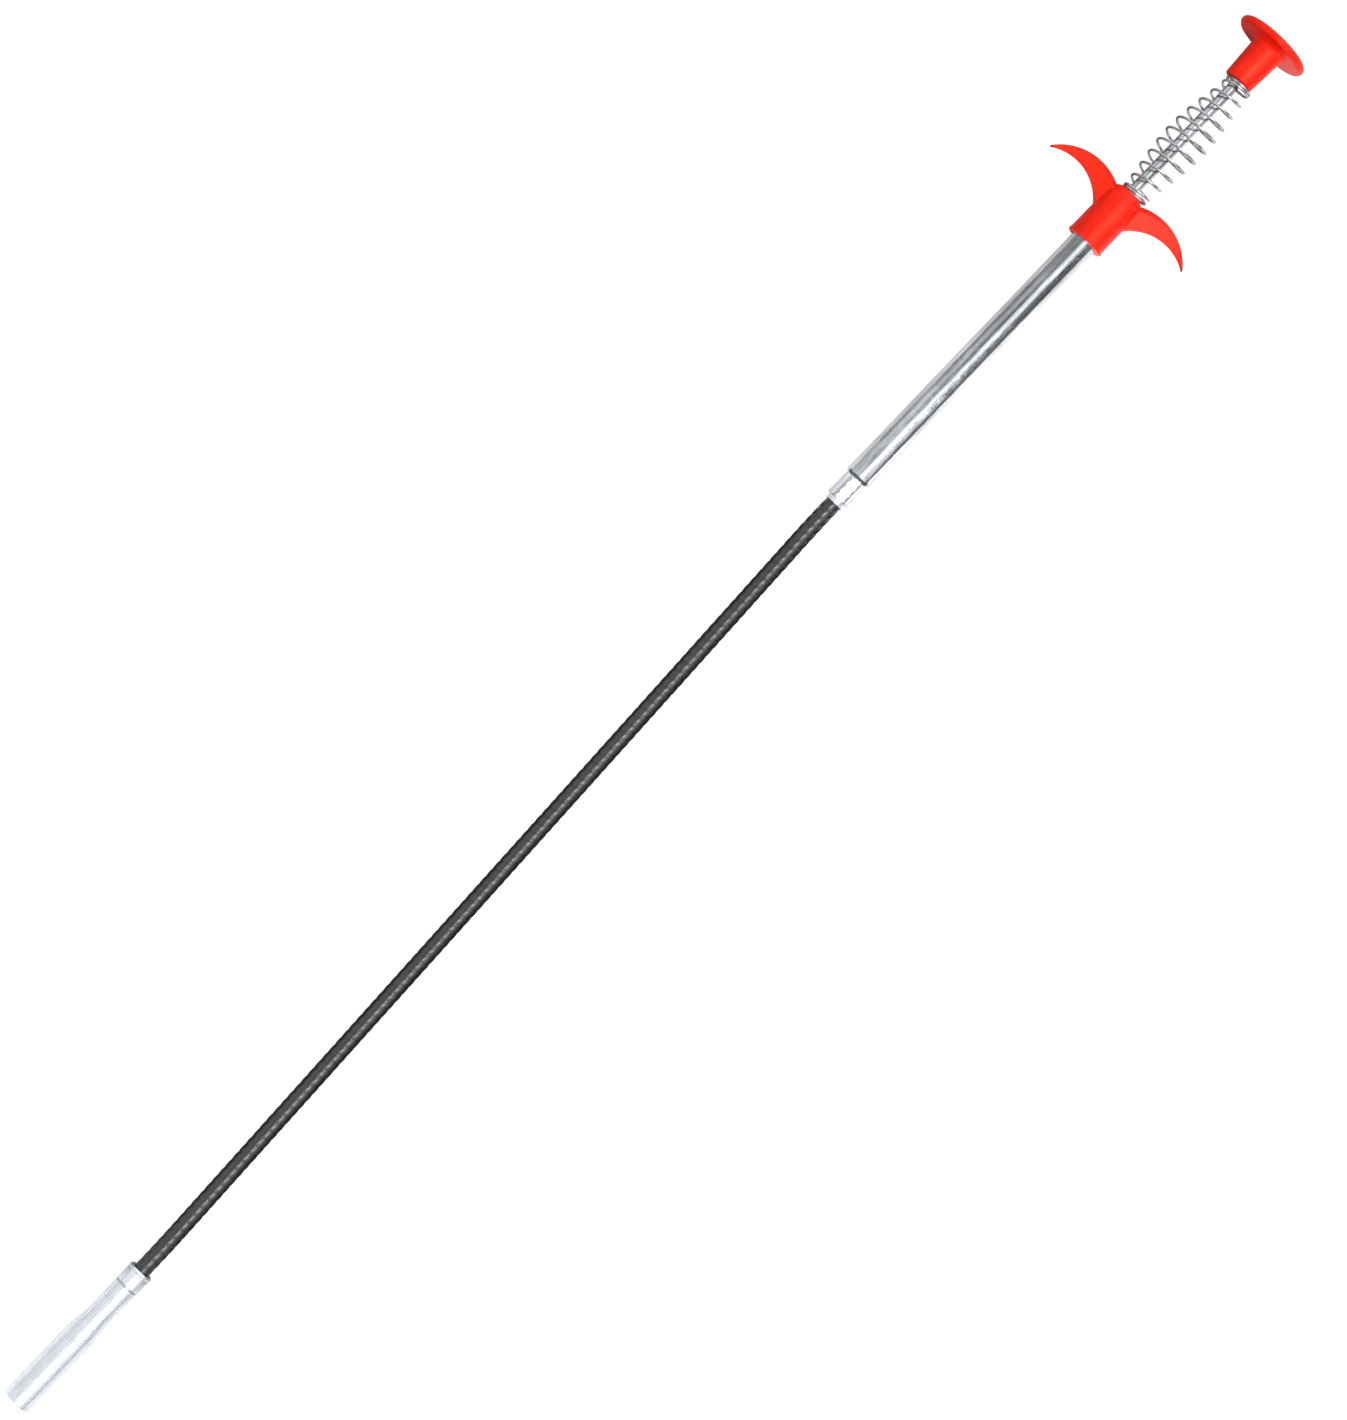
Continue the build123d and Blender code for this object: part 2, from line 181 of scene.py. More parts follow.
class TubeSizes(bpy.types.PropertyGroup):
    """Sizes of the handle tube."""

    wall: length("Wall", "Wall of the tube", 0.5)
    flats_radius: length("Flats", "Distance from the axis to the flats of the crimp", 3.8)
    crimp_radius: length("Crimp", "Radius of the crimp's corners", 4.2)
    bore: length("Crimp bore", "Radius of the bore in the crimp", 3.4)
    dimple_depth: length("Dimples", "Depth of the punch marks", 0.24)


class ShaftSizes(bpy.types.PropertyGroup):
    """Sizes of the flexible shaft."""

    ridge_pitch: length("Ridges", "Distance between the sleeve's ridges", 3.4)
    ridge_height: length("Ridge height", "Height of the sleeve's ridges", 0.17)
    ridge_starts: IntProperty(name="Starts", description="Ridges wound side by side", default=2, min=1)
    sleeve_wall: length("Sleeve wall", "Wall of the sleeve in its grooves", 0.26)
    casing_radius: length("Casing", "Outer radius of the casing coil", 2.55)
    casing_wire: length("Casing wire", "Width of the casing's wire", 1.0)
    cable_radius: length("Cable", "Radius of the drive cable", 0.95)
    bend_length: length("Bend", "Length of shaft that bends when the tool flexes", 190)


class GuideSizes(bpy.types.PropertyGroup):
    """Sizes of the claw guide and its ferrule."""

    wire: length("Wire", "Width of the guide's wire", 1.0)
    neck_radius: length("Neck", "Outer radius of the guide's neck", 4.25)
    flare_start: length("Flare start", "Distance from the mouth to the start of the flare", 28.6)
    flare_end: length("Flare end", "Distance from the mouth to the end of the flare", 39.4)
    ferrule_radius: length("Ferrule", "Radius of the ferrule", 4.35)
    lip_length: length("Lip", "Length of the ferrule's lip", 1.3)
    mouth_width: length("Lip mouth", "Width of the bevel round the shaft", 0.8)


class ClawSizes(bpy.types.PropertyGroup):
    """Sizes of the claws."""

    width: length("Width", "Width of a claw's strip", 1.4)
    thickness: length("Thickness", "Thickness of a claw's strip", 0.4)
    root_length: length("Root", "Length of strip held in the block", 4.0)
    mouth_gap: length("Mouth gap", "How far the longer claws lie inside the mouth", 1.6)
    stagger: length("Stagger", "How much shorter every other claw is", 1.4)
    tip_radius: length("Tip radius", "Distance from the axis to a claw's bend", 3.3)
    hook_length: length("Hook", "Length of the hooked end", 3.2)
    bend_radius: length("Bend radius", "Radius of the bend before the hook", 0.8)
    hook_turn: FloatProperty(
        name="Hook turn",
        description="How far the hooked end turns towards the axis",
        default=radians(76),
        subtype="ANGLE",
        unit="ROTATION",
    )


class Finishes(bpy.types.PropertyGroup):
    """Colours of the tool's finishes."""

    red_plastic: colour("Plastic", "Colour of the moulded grip and button", (0.84, 0.012, 0.001))
    red_shade: colour("Plastic, deep", "Colour of the plastic where it is thicker", (0.68, 0.006, 0.0005))
    # painted shade for the horns' fine tips, not a colour the plastic itself has
    red_tip_painted_shade: colour("Plastic, tips", "Colour of the horns' fine tips", (0.12, 0.002, 0.001))
    chrome: colour("Chrome", "Colour of the plated tube and rod", (0.80, 0.81, 0.83))
    zinc: colour("Zinc", "Colour of the plated guide and ferrule", (0.88, 0.90, 0.95))
    wire: colour("Wire", "Colour of the spring's wire", (0.72, 0.73, 0.75))
    sleeve: colour("Sleeve", "Colour of the black sleeve", (0.008, 0.008, 0.009))
    steel: colour("Steel", "Colour of the plain steel parts", (0.52, 0.52, 0.53))
    nylon: colour("Nylon", "Colour of the rod's bush", (0.80, 0.79, 0.74))
    floor: colour("Floor", "Colour of the floor", (0.93, 0.93, 0.93))


PROPERTY_GROUPS = {
    "auger_button": ButtonSizes,
    "auger_spring": SpringSizes,
    "auger_grip": GripSizes,
    "auger_tube": TubeSizes,
    "auger_shaft": ShaftSizes,
    "auger_guide": GuideSizes,
    "auger_claw": ClawSizes,
    "auger_finish": Finishes,
}


# ---------------------------------------------------------------- finishes
class Surface:
    """A material under construction: its shader and the patterns that feed it."""

    def __init__(self, name, base, metallic, roughness):
        self.material = bpy.data.materials.new(f"{name}_finish")
        self.material.use_nodes = True
        self.nodes = self.material.node_tree.nodes
        self.links = self.material.node_tree.links
        self.shader = self.nodes["Principled BSDF"]
        self.shader.inputs["Base Color"].default_value = (*base, 1)
        self.shader.inputs["Metallic"].default_value = metallic
        self.shader.inputs["Roughness"].default_value = roughness
        self.bump = None

    def noise(self, scale, detail=4.0, stretch=(1, 1, 1)):
        """A noise pattern in the piece's own place, in features per metre along each axis."""
        place = self.nodes.new("ShaderNodeTexCoord")
        mapping = self.nodes.new("ShaderNodeMapping")
        mapping.inputs["Scale"].default_value = stretch
        pattern = self.nodes.new("ShaderNodeTexNoise")
        pattern.inputs["Scale"].default_value = scale
        pattern.inputs["Detail"].default_value = detail
        self.links.new(place.outputs["Object"], mapping.inputs["Vector"])
        self.links.new(mapping.outputs["Vector"], pattern.inputs["Vector"])
        return pattern.outputs["Fac"]

    def between(self, pattern, low, high, start=0.35, stop=0.65):
        """A pattern's middle range, stretched to run from low to high."""
        node = self.nodes.new("ShaderNodeMapRange")
        node.inputs["From Min"].default_value = start
        node.inputs["From Max"].default_value = stop
        node.inputs["To Min"].default_value = low
        node.inputs["To Max"].default_value = high
        self.links.new(pattern, node.inputs["Value"])
        return node.outputs["Result"]

    def mixed(self, share, one, other):
        """A colour that runs from one to the other with the share. Each is a colour or another output."""
        node = self.nodes.new("ShaderNodeMix")
        node.data_type = "RGBA"
        for socket, value in ((node.inputs[6], one), (node.inputs[7], other)):
            if isinstance(value, tuple) or hasattr(value, "r"):
                socket.default_value = (*value, 1)
            else:
                self.links.new(value, socket)
        self.links.new(share, node.inputs[0])
        return node.outputs[2]

    def vary_colour(self, pattern, one, other):
        """The base colour runs from one colour to the other with the pattern."""
        self.links.new(self.mixed(self.between(pattern, 0, 1), one, other), self.shader.inputs["Base Color"])

    def paint_shade_beyond(self, near, far, shade):
        """Painted shade: the base colour changes to a darker shade towards the farthest places on either side of the
        tool.
        """
        place = self.nodes.new("ShaderNodeTexCoord")
        parts = self.nodes.new("ShaderNodeSeparateXYZ")
        aside = self.nodes.new("ShaderNodeMath")
        aside.operation = "ABSOLUTE"
        base = self.shader.inputs["Base Color"]
        self.links.new(place.outputs["Object"], parts.inputs[0])
        self.links.new(parts.outputs["Y"], aside.inputs[0])
        share = self.between(aside.outputs[0], 0, 1, near, far)
        self.links.new(self.mixed(share, base.links[0].from_socket, shade), base)

    def vary_roughness(self, pattern, low, high):
        """The roughness runs from low to high with the pattern."""
        self.links.new(self.between(pattern, low, high), self.shader.inputs["Roughness"])

    def relief(self, pattern, depth):
        """Adds a fine relief of that depth to the surface."""
        node = self.nodes.new("ShaderNodeBump")
        node.inputs["Strength"].default_value = 1.0
        node.inputs["Distance"].default_value = depth
        self.links.new(pattern, node.inputs["Height"])
        if self.bump is not None:
            self.links.new(self.bump.outputs["Normal"], node.inputs["Normal"])
        self.links.new(node.outputs["Normal"], self.shader.inputs["Normal"])
        self.bump = node


def red_plastic(finish):
    """Glossy moulded plastic, with flow marks, a faint orange peel and small scuffs, and painted shade that darkens
    the horns' fine tips.
    """
    surface = Surface("red_plastic", finish.red_plastic, 0.0, 0.3)
    surface.vary_colour(surface.noise(90, 3), finish.red_plastic, finish.red_shade)
    surface.vary_roughness(surface.noise(700, 6), 0.3, 0.42)
    surface.relief(surface.noise(420, 2), 0.00006)
    surface.relief(surface.noise(3200, 3), 0.00001)
    surface.shader.inputs["Specular IOR Level"].default_value = 0.35
    surface.shader.inputs["Specular Tint"].default_value = (1, 0.72, 0.5, 1)
    # painted shade: the horns' fine tips turn near black towards their ends
    surface.paint_shade_beyond(28.2 * MM, horn_y, finish.red_tip_painted_shade)
    return surface.material


def chrome_plate(finish):
    """Bright plating over drawn steel: streaks along the length, and pits."""
    surface = Surface("chrome_plate", finish.chrome, 1.0, 0.1)
    dull = tuple(0.6 * part for part in finish.chrome)
    streaks = surface.noise(1, 5, (12, 1400, 1400))
    surface.vary_colour(surface.noise(1, 4, (60, 420, 420)), finish.chrome, dull)
    surface.vary_roughness(streaks, 0.05, 0.16)
    surface.relief(surface.noise(1, 4, (160, 520, 520)), 0.00008)
    surface.relief(surface.noise(2600, 2), 0.000006)
    return surface.material


def zinc_plate(finish):
    """Bright zinc over steel: paler and softer than chrome, with a fine grain."""
    surface = Surface("zinc_plate", finish.zinc, 0.85, 0.34)
    dull = tuple(0.9 * part for part in finish.zinc)
    surface.vary_colour(surface.noise(240, 5), finish.zinc, dull)
    surface.vary_roughness(surface.noise(1, 5, (300, 1500, 1500)), 0.3, 0.42)
    surface.relief(surface.noise(2400, 3), 0.000008)
    return surface.material


def spring_wire(finish):
    """Bright drawn wire with die marks."""
    surface = Surface("spring_wire", finish.wire, 1.0, 0.16)
    dull = tuple(0.55 * part for part in finish.wire)
    surface.vary_colour(surface.noise(420, 5), finish.wire, dull)
    surface.vary_roughness(surface.noise(1500, 4), 0.1, 0.24)
    surface.relief(surface.noise(3600, 3), 0.000008)
    return surface.material


def black_sleeve(finish):
    """Black plastic drawn tightly over a coil, satin, with a few scuffs and dust."""
    surface = Surface("black_sleeve", finish.sleeve, 0.0, 0.34)
    worn = tuple(1.8 * part for part in finish.sleeve)
    surface.vary_colour(surface.noise(160, 6), finish.sleeve, worn)
    surface.vary_roughness(surface.noise(900, 5), 0.16, 0.3)
    surface.relief(surface.noise(1900, 4), 0.00001)
    surface.shader.inputs["Specular IOR Level"].default_value = 0.95
    return surface.material


def turned_steel(finish):
    """Plain steel with turning marks."""
    surface = Surface("turned_steel", finish.steel, 1.0, 0.32)
    dull = tuple(0.7 * part for part in finish.steel)
    surface.vary_colour(surface.noise(500, 5), finish.steel, dull)
    surface.vary_roughness(surface.noise(1, 3, (4200, 60, 60)), 0.24, 0.42)
    surface.relief(surface.noise(1, 3, (5200, 40, 40)), 0.00001)
    return surface.material


def claw_steel(finish):
    """Rolled spring strip: bright, with scratches along it."""
    surface = Surface("claw_steel", finish.chrome, 1.0, 0.2)
    dull = tuple(0.72 * part for part in finish.chrome)
    surface.vary_colour(surface.noise(600, 4), finish.chrome, dull)
    surface.vary_roughness(surface.noise(1, 4, (180, 3000, 3000)), 0.14, 0.3)
    surface.relief(surface.noise(1, 4, (220, 3600, 3600)), 0.000008)
    return surface.material


def white_nylon(finish):
    """Moulded nylon, slightly waxy."""
    surface = Surface("white_nylon", finish.nylon, 0.0, 0.42)
    aged = tuple(0.92 * part for part in finish.nylon)
    surface.vary_colour(surface.noise(200, 4), finish.nylon, aged)
    surface.relief(surface.noise(1500, 3), 0.00002)
    return surface.material


FINISH_MAKERS = {
    "red_plastic": red_plastic,
    "chrome_plate": chrome_plate,
    "zinc_plate": zinc_plate,
    "spring_wire": spring_wire,
    "black_sleeve": black_sleeve,
    "turned_steel": turned_steel,
    "claw_steel": claw_steel,
    "white_nylon": white_nylon,
}

made_finishes = {}


def finished(piece, name):
    """Gives a piece one of the tool's finishes."""
    if name not in made_finishes:
        made_finishes[name] = FINISH_MAKERS[name](bpy.context.scene.auger_finish)
    piece.data.materials.clear()
    piece.data.materials.append(made_finishes[name])


# ---------------------------------------------------------------- modelling helpers
def nothing_selected():
    """Leaves edit mode and deselects every object."""
    if bpy.context.object is not None and bpy.context.object.mode != "OBJECT":
        bpy.ops.object.mode_set(mode="OBJECT")
    bpy.ops.object.select_all(action="DESELECT")


def chosen(piece):
    """Makes a piece the only selected object, and the active one."""
    nothing_selected()
    piece.select_set(True)
    bpy.context.view_layer.objects.active = piece


def settled(piece):
    """Puts a piece's place, turn and scale into its mesh."""
    chosen(piece)
    bpy.ops.object.transform_apply(location=True, rotation=True, scale=True)


def new_ring(name, x, radius, centre, segments):
    """A circle square to the tool's length, open in the middle, in edit mode and selected."""
    nothing_selected()
    bpy.ops.mesh.primitive_circle_add(
        vertices=segments,
        radius=radius,
        location=(x, centre.y, centre.z),
        rotation=(0, pi / 2, 0),
    )
    piece = bpy.context.object
    piece.name = piece.data.name = name
    settled(piece)
    bpy.ops.object.mode_set(mode="EDIT")
    bpy.ops.mesh.select_all(action="SELECT")
    return piece


def turned(name, stations, centre, segments=96):
    """A solid of revolution. Its outline is a list of (x, radius), drawn out ring by ring.

    An outline that comes back to its first point makes a ring. Any other is closed with a face at each end.
    """
    piece = new_ring(name, *stations[0], centre, segments)
    for (x, radius), (next_x, next_radius) in pairwise(stations):
        bpy.ops.mesh.extrude_region_move(TRANSFORM_OT_translate={"value": (next_x - x, 0, 0)})
        share = next_radius / radius
        bpy.ops.transform.resize(value=(1, share, share), center_override=(next_x, centre.y, centre.z))
    if stations[0] == stations[-1]:
        facing_out(piece)
    else:
        capped(piece)
    return piece


def capped(piece):
    """Closes a piece's open ends with a face each and turns its faces outwards."""
    chosen(piece)
    bpy.ops.object.mode_set(mode="EDIT")
    bpy.ops.mesh.select_all(action="DESELECT")
    bpy.ops.mesh.select_non_manifold()
    bpy.ops.mesh.edge_face_add()
    bpy.ops.mesh.select_all(action="SELECT")
    bpy.ops.mesh.normals_make_consistent(inside=False)
    bpy.ops.object.mode_set(mode="OBJECT")


def modified(piece, kind, **settings):
    """Adds a modifier with these settings and applies it."""
    chosen(piece)
    bpy.ops.object.modifier_add(type=kind)
    modifier = piece.modifiers[-1]
    for setting, value in settings.items():
        setattr(modifier, setting, value)
    bpy.ops.object.modifier_apply(modifier=modifier.name)


def smoothed(piece, angle=radians(35)):
    """Smooth shading, with edges sharper than the angle kept crisp."""
    chosen(piece)
    bpy.ops.object.shade_smooth_by_angle(angle=angle)


def reshaped(piece, move):
    """Moves each point of a piece's mesh with a function from its place to a new one."""
    for vertex in piece.data.vertices:
        vertex.co = move(vertex.co)
    piece.data.update()


def plane_edge(name, size, height, dropped):
    """One edge of a square plane, in edit mode and selected. The points that the test picks are dropped."""
    nothing_selected()
    bpy.ops.mesh.primitive_plane_add(size=size, location=(0, 0, height))
    piece = bpy.context.object
    piece.name = piece.data.name = name
    settled(piece)
    bpy.ops.object.mode_set(mode="EDIT")
    bpy.ops.mesh.select_all(action="DESELECT")
    bpy.ops.object.mode_set(mode="OBJECT")
    for vertex in piece.data.vertices:
        vertex.select = dropped(vertex.co)
    bpy.ops.object.mode_set(mode="EDIT")
    bpy.ops.mesh.delete(type="VERT")
    bpy.ops.mesh.select_all(action="SELECT")
    return piece


def wire_section(name, radius, width, corner, segments=3):
    """A rounded square section of a wire, beside the X axis."""
    nothing_selected()
    bpy.ops.mesh.primitive_plane_add(size=width, location=(0, 0, radius), rotation=(pi / 2, 0, 0))
    piece = bpy.context.object
    piece.name = piece.data.name = name
    settled(piece)
    bpy.ops.object.mode_set(mode="EDIT")
    bpy.ops.mesh.select_all(action="SELECT")
    bpy.ops.mesh.bevel(offset=corner, segments=segments, affect="VERTICES")
    bpy.ops.mesh.select_all(action="SELECT")
    bpy.ops.mesh.delete(type="ONLY_FACE")
    bpy.ops.object.mode_set(mode="OBJECT")
    return piece


def wound(piece, lead, turns, steps):
    """Winds a section that lies beside the X axis along it."""
    modified(
        piece,
        "SCREW",
        axis="X",
        angle=tau,
        screw_offset=lead,
        iterations=turns,
        steps=steps,
        render_steps=steps,
        use_merge_vertices=False,
        use_smooth_shade=True,
    )


def close_coil(name, low, high, radius, wire, width, corner, steps, segments=3):
    """A close-wound coil of squared wire, closed and ground flat at both ends."""
    buried = 0.3 * wire
    run = high - low + 2 * buried
    turns = int(run / wire)
    piece = wire_section(name, radius, width, corner, segments)
    wound(piece, run / turns, turns, steps)
    chosen(piece)
    bpy.ops.object.mode_set(mode="EDIT")
    bpy.ops.mesh.select_all(action="SELECT")
    bpy.ops.mesh.fill_holes(sides=0)
    bpy.ops.object.mode_set(mode="OBJECT")
    reshaped(piece, lambda place: Vector((min(high, max(low, place.x + low - buried)), place.y, place.z)))
    facing_out(piece)
    return piece


def facing_out(piece, threshold=1e-6):
    """Joins a piece's doubled points and turns its faces outwards."""
    chosen(piece)
    bpy.ops.object.mode_set(mode="EDIT")
    bpy.ops.mesh.select_all(action="SELECT")
    bpy.ops.mesh.remove_doubles(threshold=threshold)
    bpy.ops.mesh.normals_make_consistent(inside=False)
    bpy.ops.object.mode_set(mode="OBJECT")


def handed_over(piece, finish_name, slot, *nodes, body=None):
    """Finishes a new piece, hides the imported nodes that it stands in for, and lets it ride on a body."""
    finished(piece, finish_name)
    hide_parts(*nodes)
    if body is not None:
        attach(piece, body)


def smoothstep(share):
    """Runs smoothly from 0 to 1 as the share does."""
    share = min(1, max(0, share))
    return share * share * (3 - 2 * share)


# ---------------------------------------------------------------- the line that the shaft follows
BEND_INSET = 10 * MM
BEND_HALF = 9 * MM


def soft_ramp(distance):
    """Rises from 0 at one metre a metre, eased in round the start."""
    if distance <= -BEND_HALF:
        return 0.0
    if distance < BEND_HALF:
        return (distance + BEND_HALF) ** 2 / (4 * BEND_HALF)
    return distance


def shaft_centre(x):
    """Where the shaft's centre line is at x: on the handle's axis at one end and on the guide's at the other."""
    first = shaft_handle_x - BEND_INSET
    last = shaft_tip_x + BEND_INSET
    share = (soft_ramp(first - x) - soft_ramp(last - x)) / (first - last)
    return handle_axis.lerp(guide_axis, share)


def laid_along_shaft(piece):
    """Moves a piece from the X axis to the shaft's centre line."""
    reshaped(piece, lambda place: place + shaft_centre(place.x))


# ---------------------------------------------------------------- operators: the stage, then each piece
def fill_ramp(ramp, stops):
    """Sets a grey ramp's stops from a list of (position, value)."""
    elements = ramp.color_ramp.elements
    while len(elements) < len(stops):
        elements.new(1.0)
    for element, (position, value) in zip(elements, stops):
        element.position = position
        element.color = (value, value, value, 1)


class AUGER_OT_stage(bpy.types.Operator):
    """Sets up the floor, the soft light and the camera above the tool"""

    bl_idname = "auger.stage"
    bl_label = "Stage"

    camera_height = 1.3
    view_size = 0.4674
    view_turn = radians(-46.2)
    view_centre = Vector((10.0, -9.05, 10.0)) * MM
    # brightness of the surroundings by angle from overhead; positive angles are on the tool's -Y side
    around_shaft = (
        (-90, 0.5),
        (-75, 0.6),
        (-52, 1.05),
        (-31, 0.8),
        (-8, 0.7),
        (0, 0.85),
        (4, 1.6),
        (42, 1.5),
        (55, 1.0),
        (68, 0.5),
        (80, 0.15),
        (90, 0.08),
    )
    around_tube = (
        (-90, 0.4),
        (-77, 0.25),
        (-52, 0.45),
        (-36, 0.4),
        (-20, 0.16),
        (-12, 0.28),
        (-5, 1.0),
        (3, 1.5),
        (20, 1.3),
        (30, 0.4),
        (45, 0.06),
        (72, 0.03),
        (84, 0.4),
    )
    tube_span = (0.12, 0.16)
    floor_glow = 0.86
    floor_seen = (0.25, 0.25, 0.25)
    # how much light the floor throws back on the tool's +Y side and on its -Y side, from the claws to the button
    floor_returns = (
        (-0.26, 0.7, 0.62),
        (-0.235, 0.06, 0.04),
        (0.088, 0.06, 0.04),
        (0.1, 0.7, 0.95),
        (0.205, 0.5, 0.95),
        (0.24, 0.2, 0.6),
    )
    floor_half_length = 0.4
    strip_light = 4.5
    strip_angles = (radians(6), radians(30))
    strip_span = (-0.21, 0.05)
    end_start, end_full = 0.5, 0.7
    tip_end_brightness = 0.2
    button_end_brightness = 1.6

    def execute(self, context):
        self.make_floor(context)
        self.make_surroundings(context)
        self.make_lights(context)
        self.make_camera(context)
        context.scene.view_settings.view_transform = "Standard"
        return {"FINISHED"}

    def make_floor(self, context):
        """A wide floor just under the tool.

        It is near white to the camera. To everything else it is a grey that changes along and across the tool.
        """
        nothing_selected()
        bpy.ops.mesh.primitive_plane_add(size=8, location=(0, 0, -0.0002))
        floor = bpy.context.object
        floor.name = "floor"
        settled(floor)
        surface = Surface("pale_floor", context.scene.auger_finish.floor, 0.0, 0.9)
        surface.shader.inputs["Specular IOR Level"].default_value = 0.0
        surface.shader.inputs["Emission Color"].default_value = (1, 1, 1, 1)
        ray = surface.nodes.new("ShaderNodeLightPath")
        seen = ray.outputs["Is Camera Ray"]
        surface.links.new(surface.between(seen, 0, self.floor_glow, 0, 1), surface.shader.inputs["Emission Strength"])
        place = surface.nodes.new("ShaderNodeTexCoord")
        parts = surface.nodes.new("ShaderNodeSeparateXYZ")
        surface.links.new(place.outputs["Object"], parts.inputs[0])
        half = self.floor_half_length
        along = surface.between(parts.outputs["X"], 0, 1, -half, half)
        sides = []
        for column in (2, 1):
            ramp = surface.nodes.new("ShaderNodeValToRGB")
            stops = [((row[0] + half) / (2 * half), row[column]) for row in self.floor_returns]
            fill_ramp(ramp, stops)
            surface.links.new(along, ramp.inputs["Fac"])
            sides.append(ramp.outputs["Color"])
        returned = surface.mixed(surface.between(parts.outputs["Y"], 0, 1, -4 * MM, 4 * MM), *sides)
        shown = surface.mixed(seen, returned, self.floor_seen)
        surface.links.new(shown, surface.shader.inputs["Base Color"])
        floor.data.materials.append(surface.material)

    def make_surroundings(self, context):
        """Surroundings whose brightness changes with direction. What the camera sees directly is plain white."""
        world = bpy.data.worlds.new("surroundings")
        context.scene.world = world
        world.use_nodes = True
        nodes, links = world.node_tree.nodes, world.node_tree.links
        nodes.clear()

        def maths(operation, *inputs):
            """A sum of the given values or outputs."""
            node = nodes.new("ShaderNodeMath")
            node.operation = operation
            for socket, value in zip(node.inputs, inputs):
                if isinstance(value, (int, float)):
                    socket.default_value = value
                else:
                    links.new(value, socket)
            return node.outputs[0]

        def ranged(value, low, high, to_low, to_high):
            """A value's range stretched to another one and held there."""
            node = nodes.new("ShaderNodeMapRange")
            for socket, number in zip(list(node.inputs)[1:5], (low, high, to_low, to_high)):
                socket.default_value = number
            links.new(value, node.inputs["Value"])
            return node.outputs["Result"]

        def within(value, low, high, edge):
            """One where a value lies between two others, and nought beyond."""
            return maths("MULTIPLY", ranged(value, low - edge, low, 0, 1), ranged(value, high, high + edge, 1, 0))

        place = nodes.new("ShaderNodeTexCoord")
        parts = nodes.new("ShaderNodeSeparateXYZ")
        links.new(place.outputs["Generated"], parts.inputs[0])
        angle = maths("ARCTAN2", maths("MULTIPLY", parts.outputs["Y"], -1), parts.outputs["Z"])
        turn = ranged(angle, -pi / 2, pi / 2, 0, 1)
        along = parts.outputs["X"]

        def around(brightness):
            """Brightness by angle from overhead."""
            ramp = nodes.new("ShaderNodeValToRGB")
            brightest = max(value for _, value in brightness)
            fill_ramp(ramp, [((degrees + 90) / 180, value / brightest) for degrees, value in brightness])
            links.new(turn, ramp.inputs["Fac"])
            return maths("MULTIPLY", ramp.outputs["Color"], brightest)

        tip_end = ranged(along, -self.end_full, -self.end_start, self.tip_end_brightness, 1)
        button_end = ranged(along, self.end_start, self.end_full, 1, self.button_end_brightness)
        by_tube = within(along, *self.tube_span, 0.03)
        by_shaft = maths("SUBTRACT", 1, by_tube)
        base = maths(
            "ADD",
            maths("MULTIPLY", around(self.around_shaft), by_shaft),
            maths("MULTIPLY", around(self.around_tube), by_tube),
        )
        for factor in (tip_end, button_end):
            base = maths("MULTIPLY", base, factor)
        strip = maths("MULTIPLY", within(angle, *self.strip_angles, 0.02), within(along, *self.strip_span, 0.04))
        lit = nodes.new("ShaderNodeBackground")
        links.new(maths("ADD", base, maths("MULTIPLY", strip, self.strip_light)), lit.inputs["Strength"])
        lit.inputs["Color"].default_value = (0.96, 0.98, 1.0, 1)
        plain = nodes.new("ShaderNodeBackground")
        plain.inputs["Color"].default_value = (1, 1, 1, 1)
        ray = nodes.new("ShaderNodeLightPath")
        choice = nodes.new("ShaderNodeMixShader")
        out = nodes.new("ShaderNodeOutputWorld")
        links.new(ray.outputs["Is Camera Ray"], choice.inputs["Fac"])
        links.new(lit.outputs[0], choice.inputs[1])
        links.new(plain.outputs[0], choice.inputs[2])
        links.new(choice.outputs[0], out.inputs["Surface"])

    def make_lights(self, context):
        """A large soft light overhead, and one low down at the claw end. Both are kept out of the reflections."""
        self.make_softbox("overhead_softbox", (0.1, -0.9, 1.8), 2.4, 18)
        self.make_softbox("claw_end_softbox", (-1.6, -0.3, 0.6), 1.2, 14)

    @staticmethod
    def make_softbox(name, place, size, power):
        """A square light that faces the tool."""
        bpy.ops.object.light_add(type="AREA", location=place)
        light = bpy.context.object
        light.name = name
        light.data.shape = "SQUARE"
        light.data.size = size
        light.data.energy = power
        light.visible_glossy = False
        light.rotation_euler = (-Vector(place)).to_track_quat("-Z", "Y").to_euler()

    def make_camera(self, context):
        """The camera looks straight down at the middle of the tool."""
        bpy.ops.object.camera_add(
            location=self.view_centre + Vector((0, 0, self.camera_height)),
            rotation=(0, 0, self.view_turn),
        )
        camera = bpy.context.object
        camera.data.lens = camera.data.sensor_width * self.camera_height / self.view_size
        camera.data.dof.use_dof = False
        context.scene.camera = camera


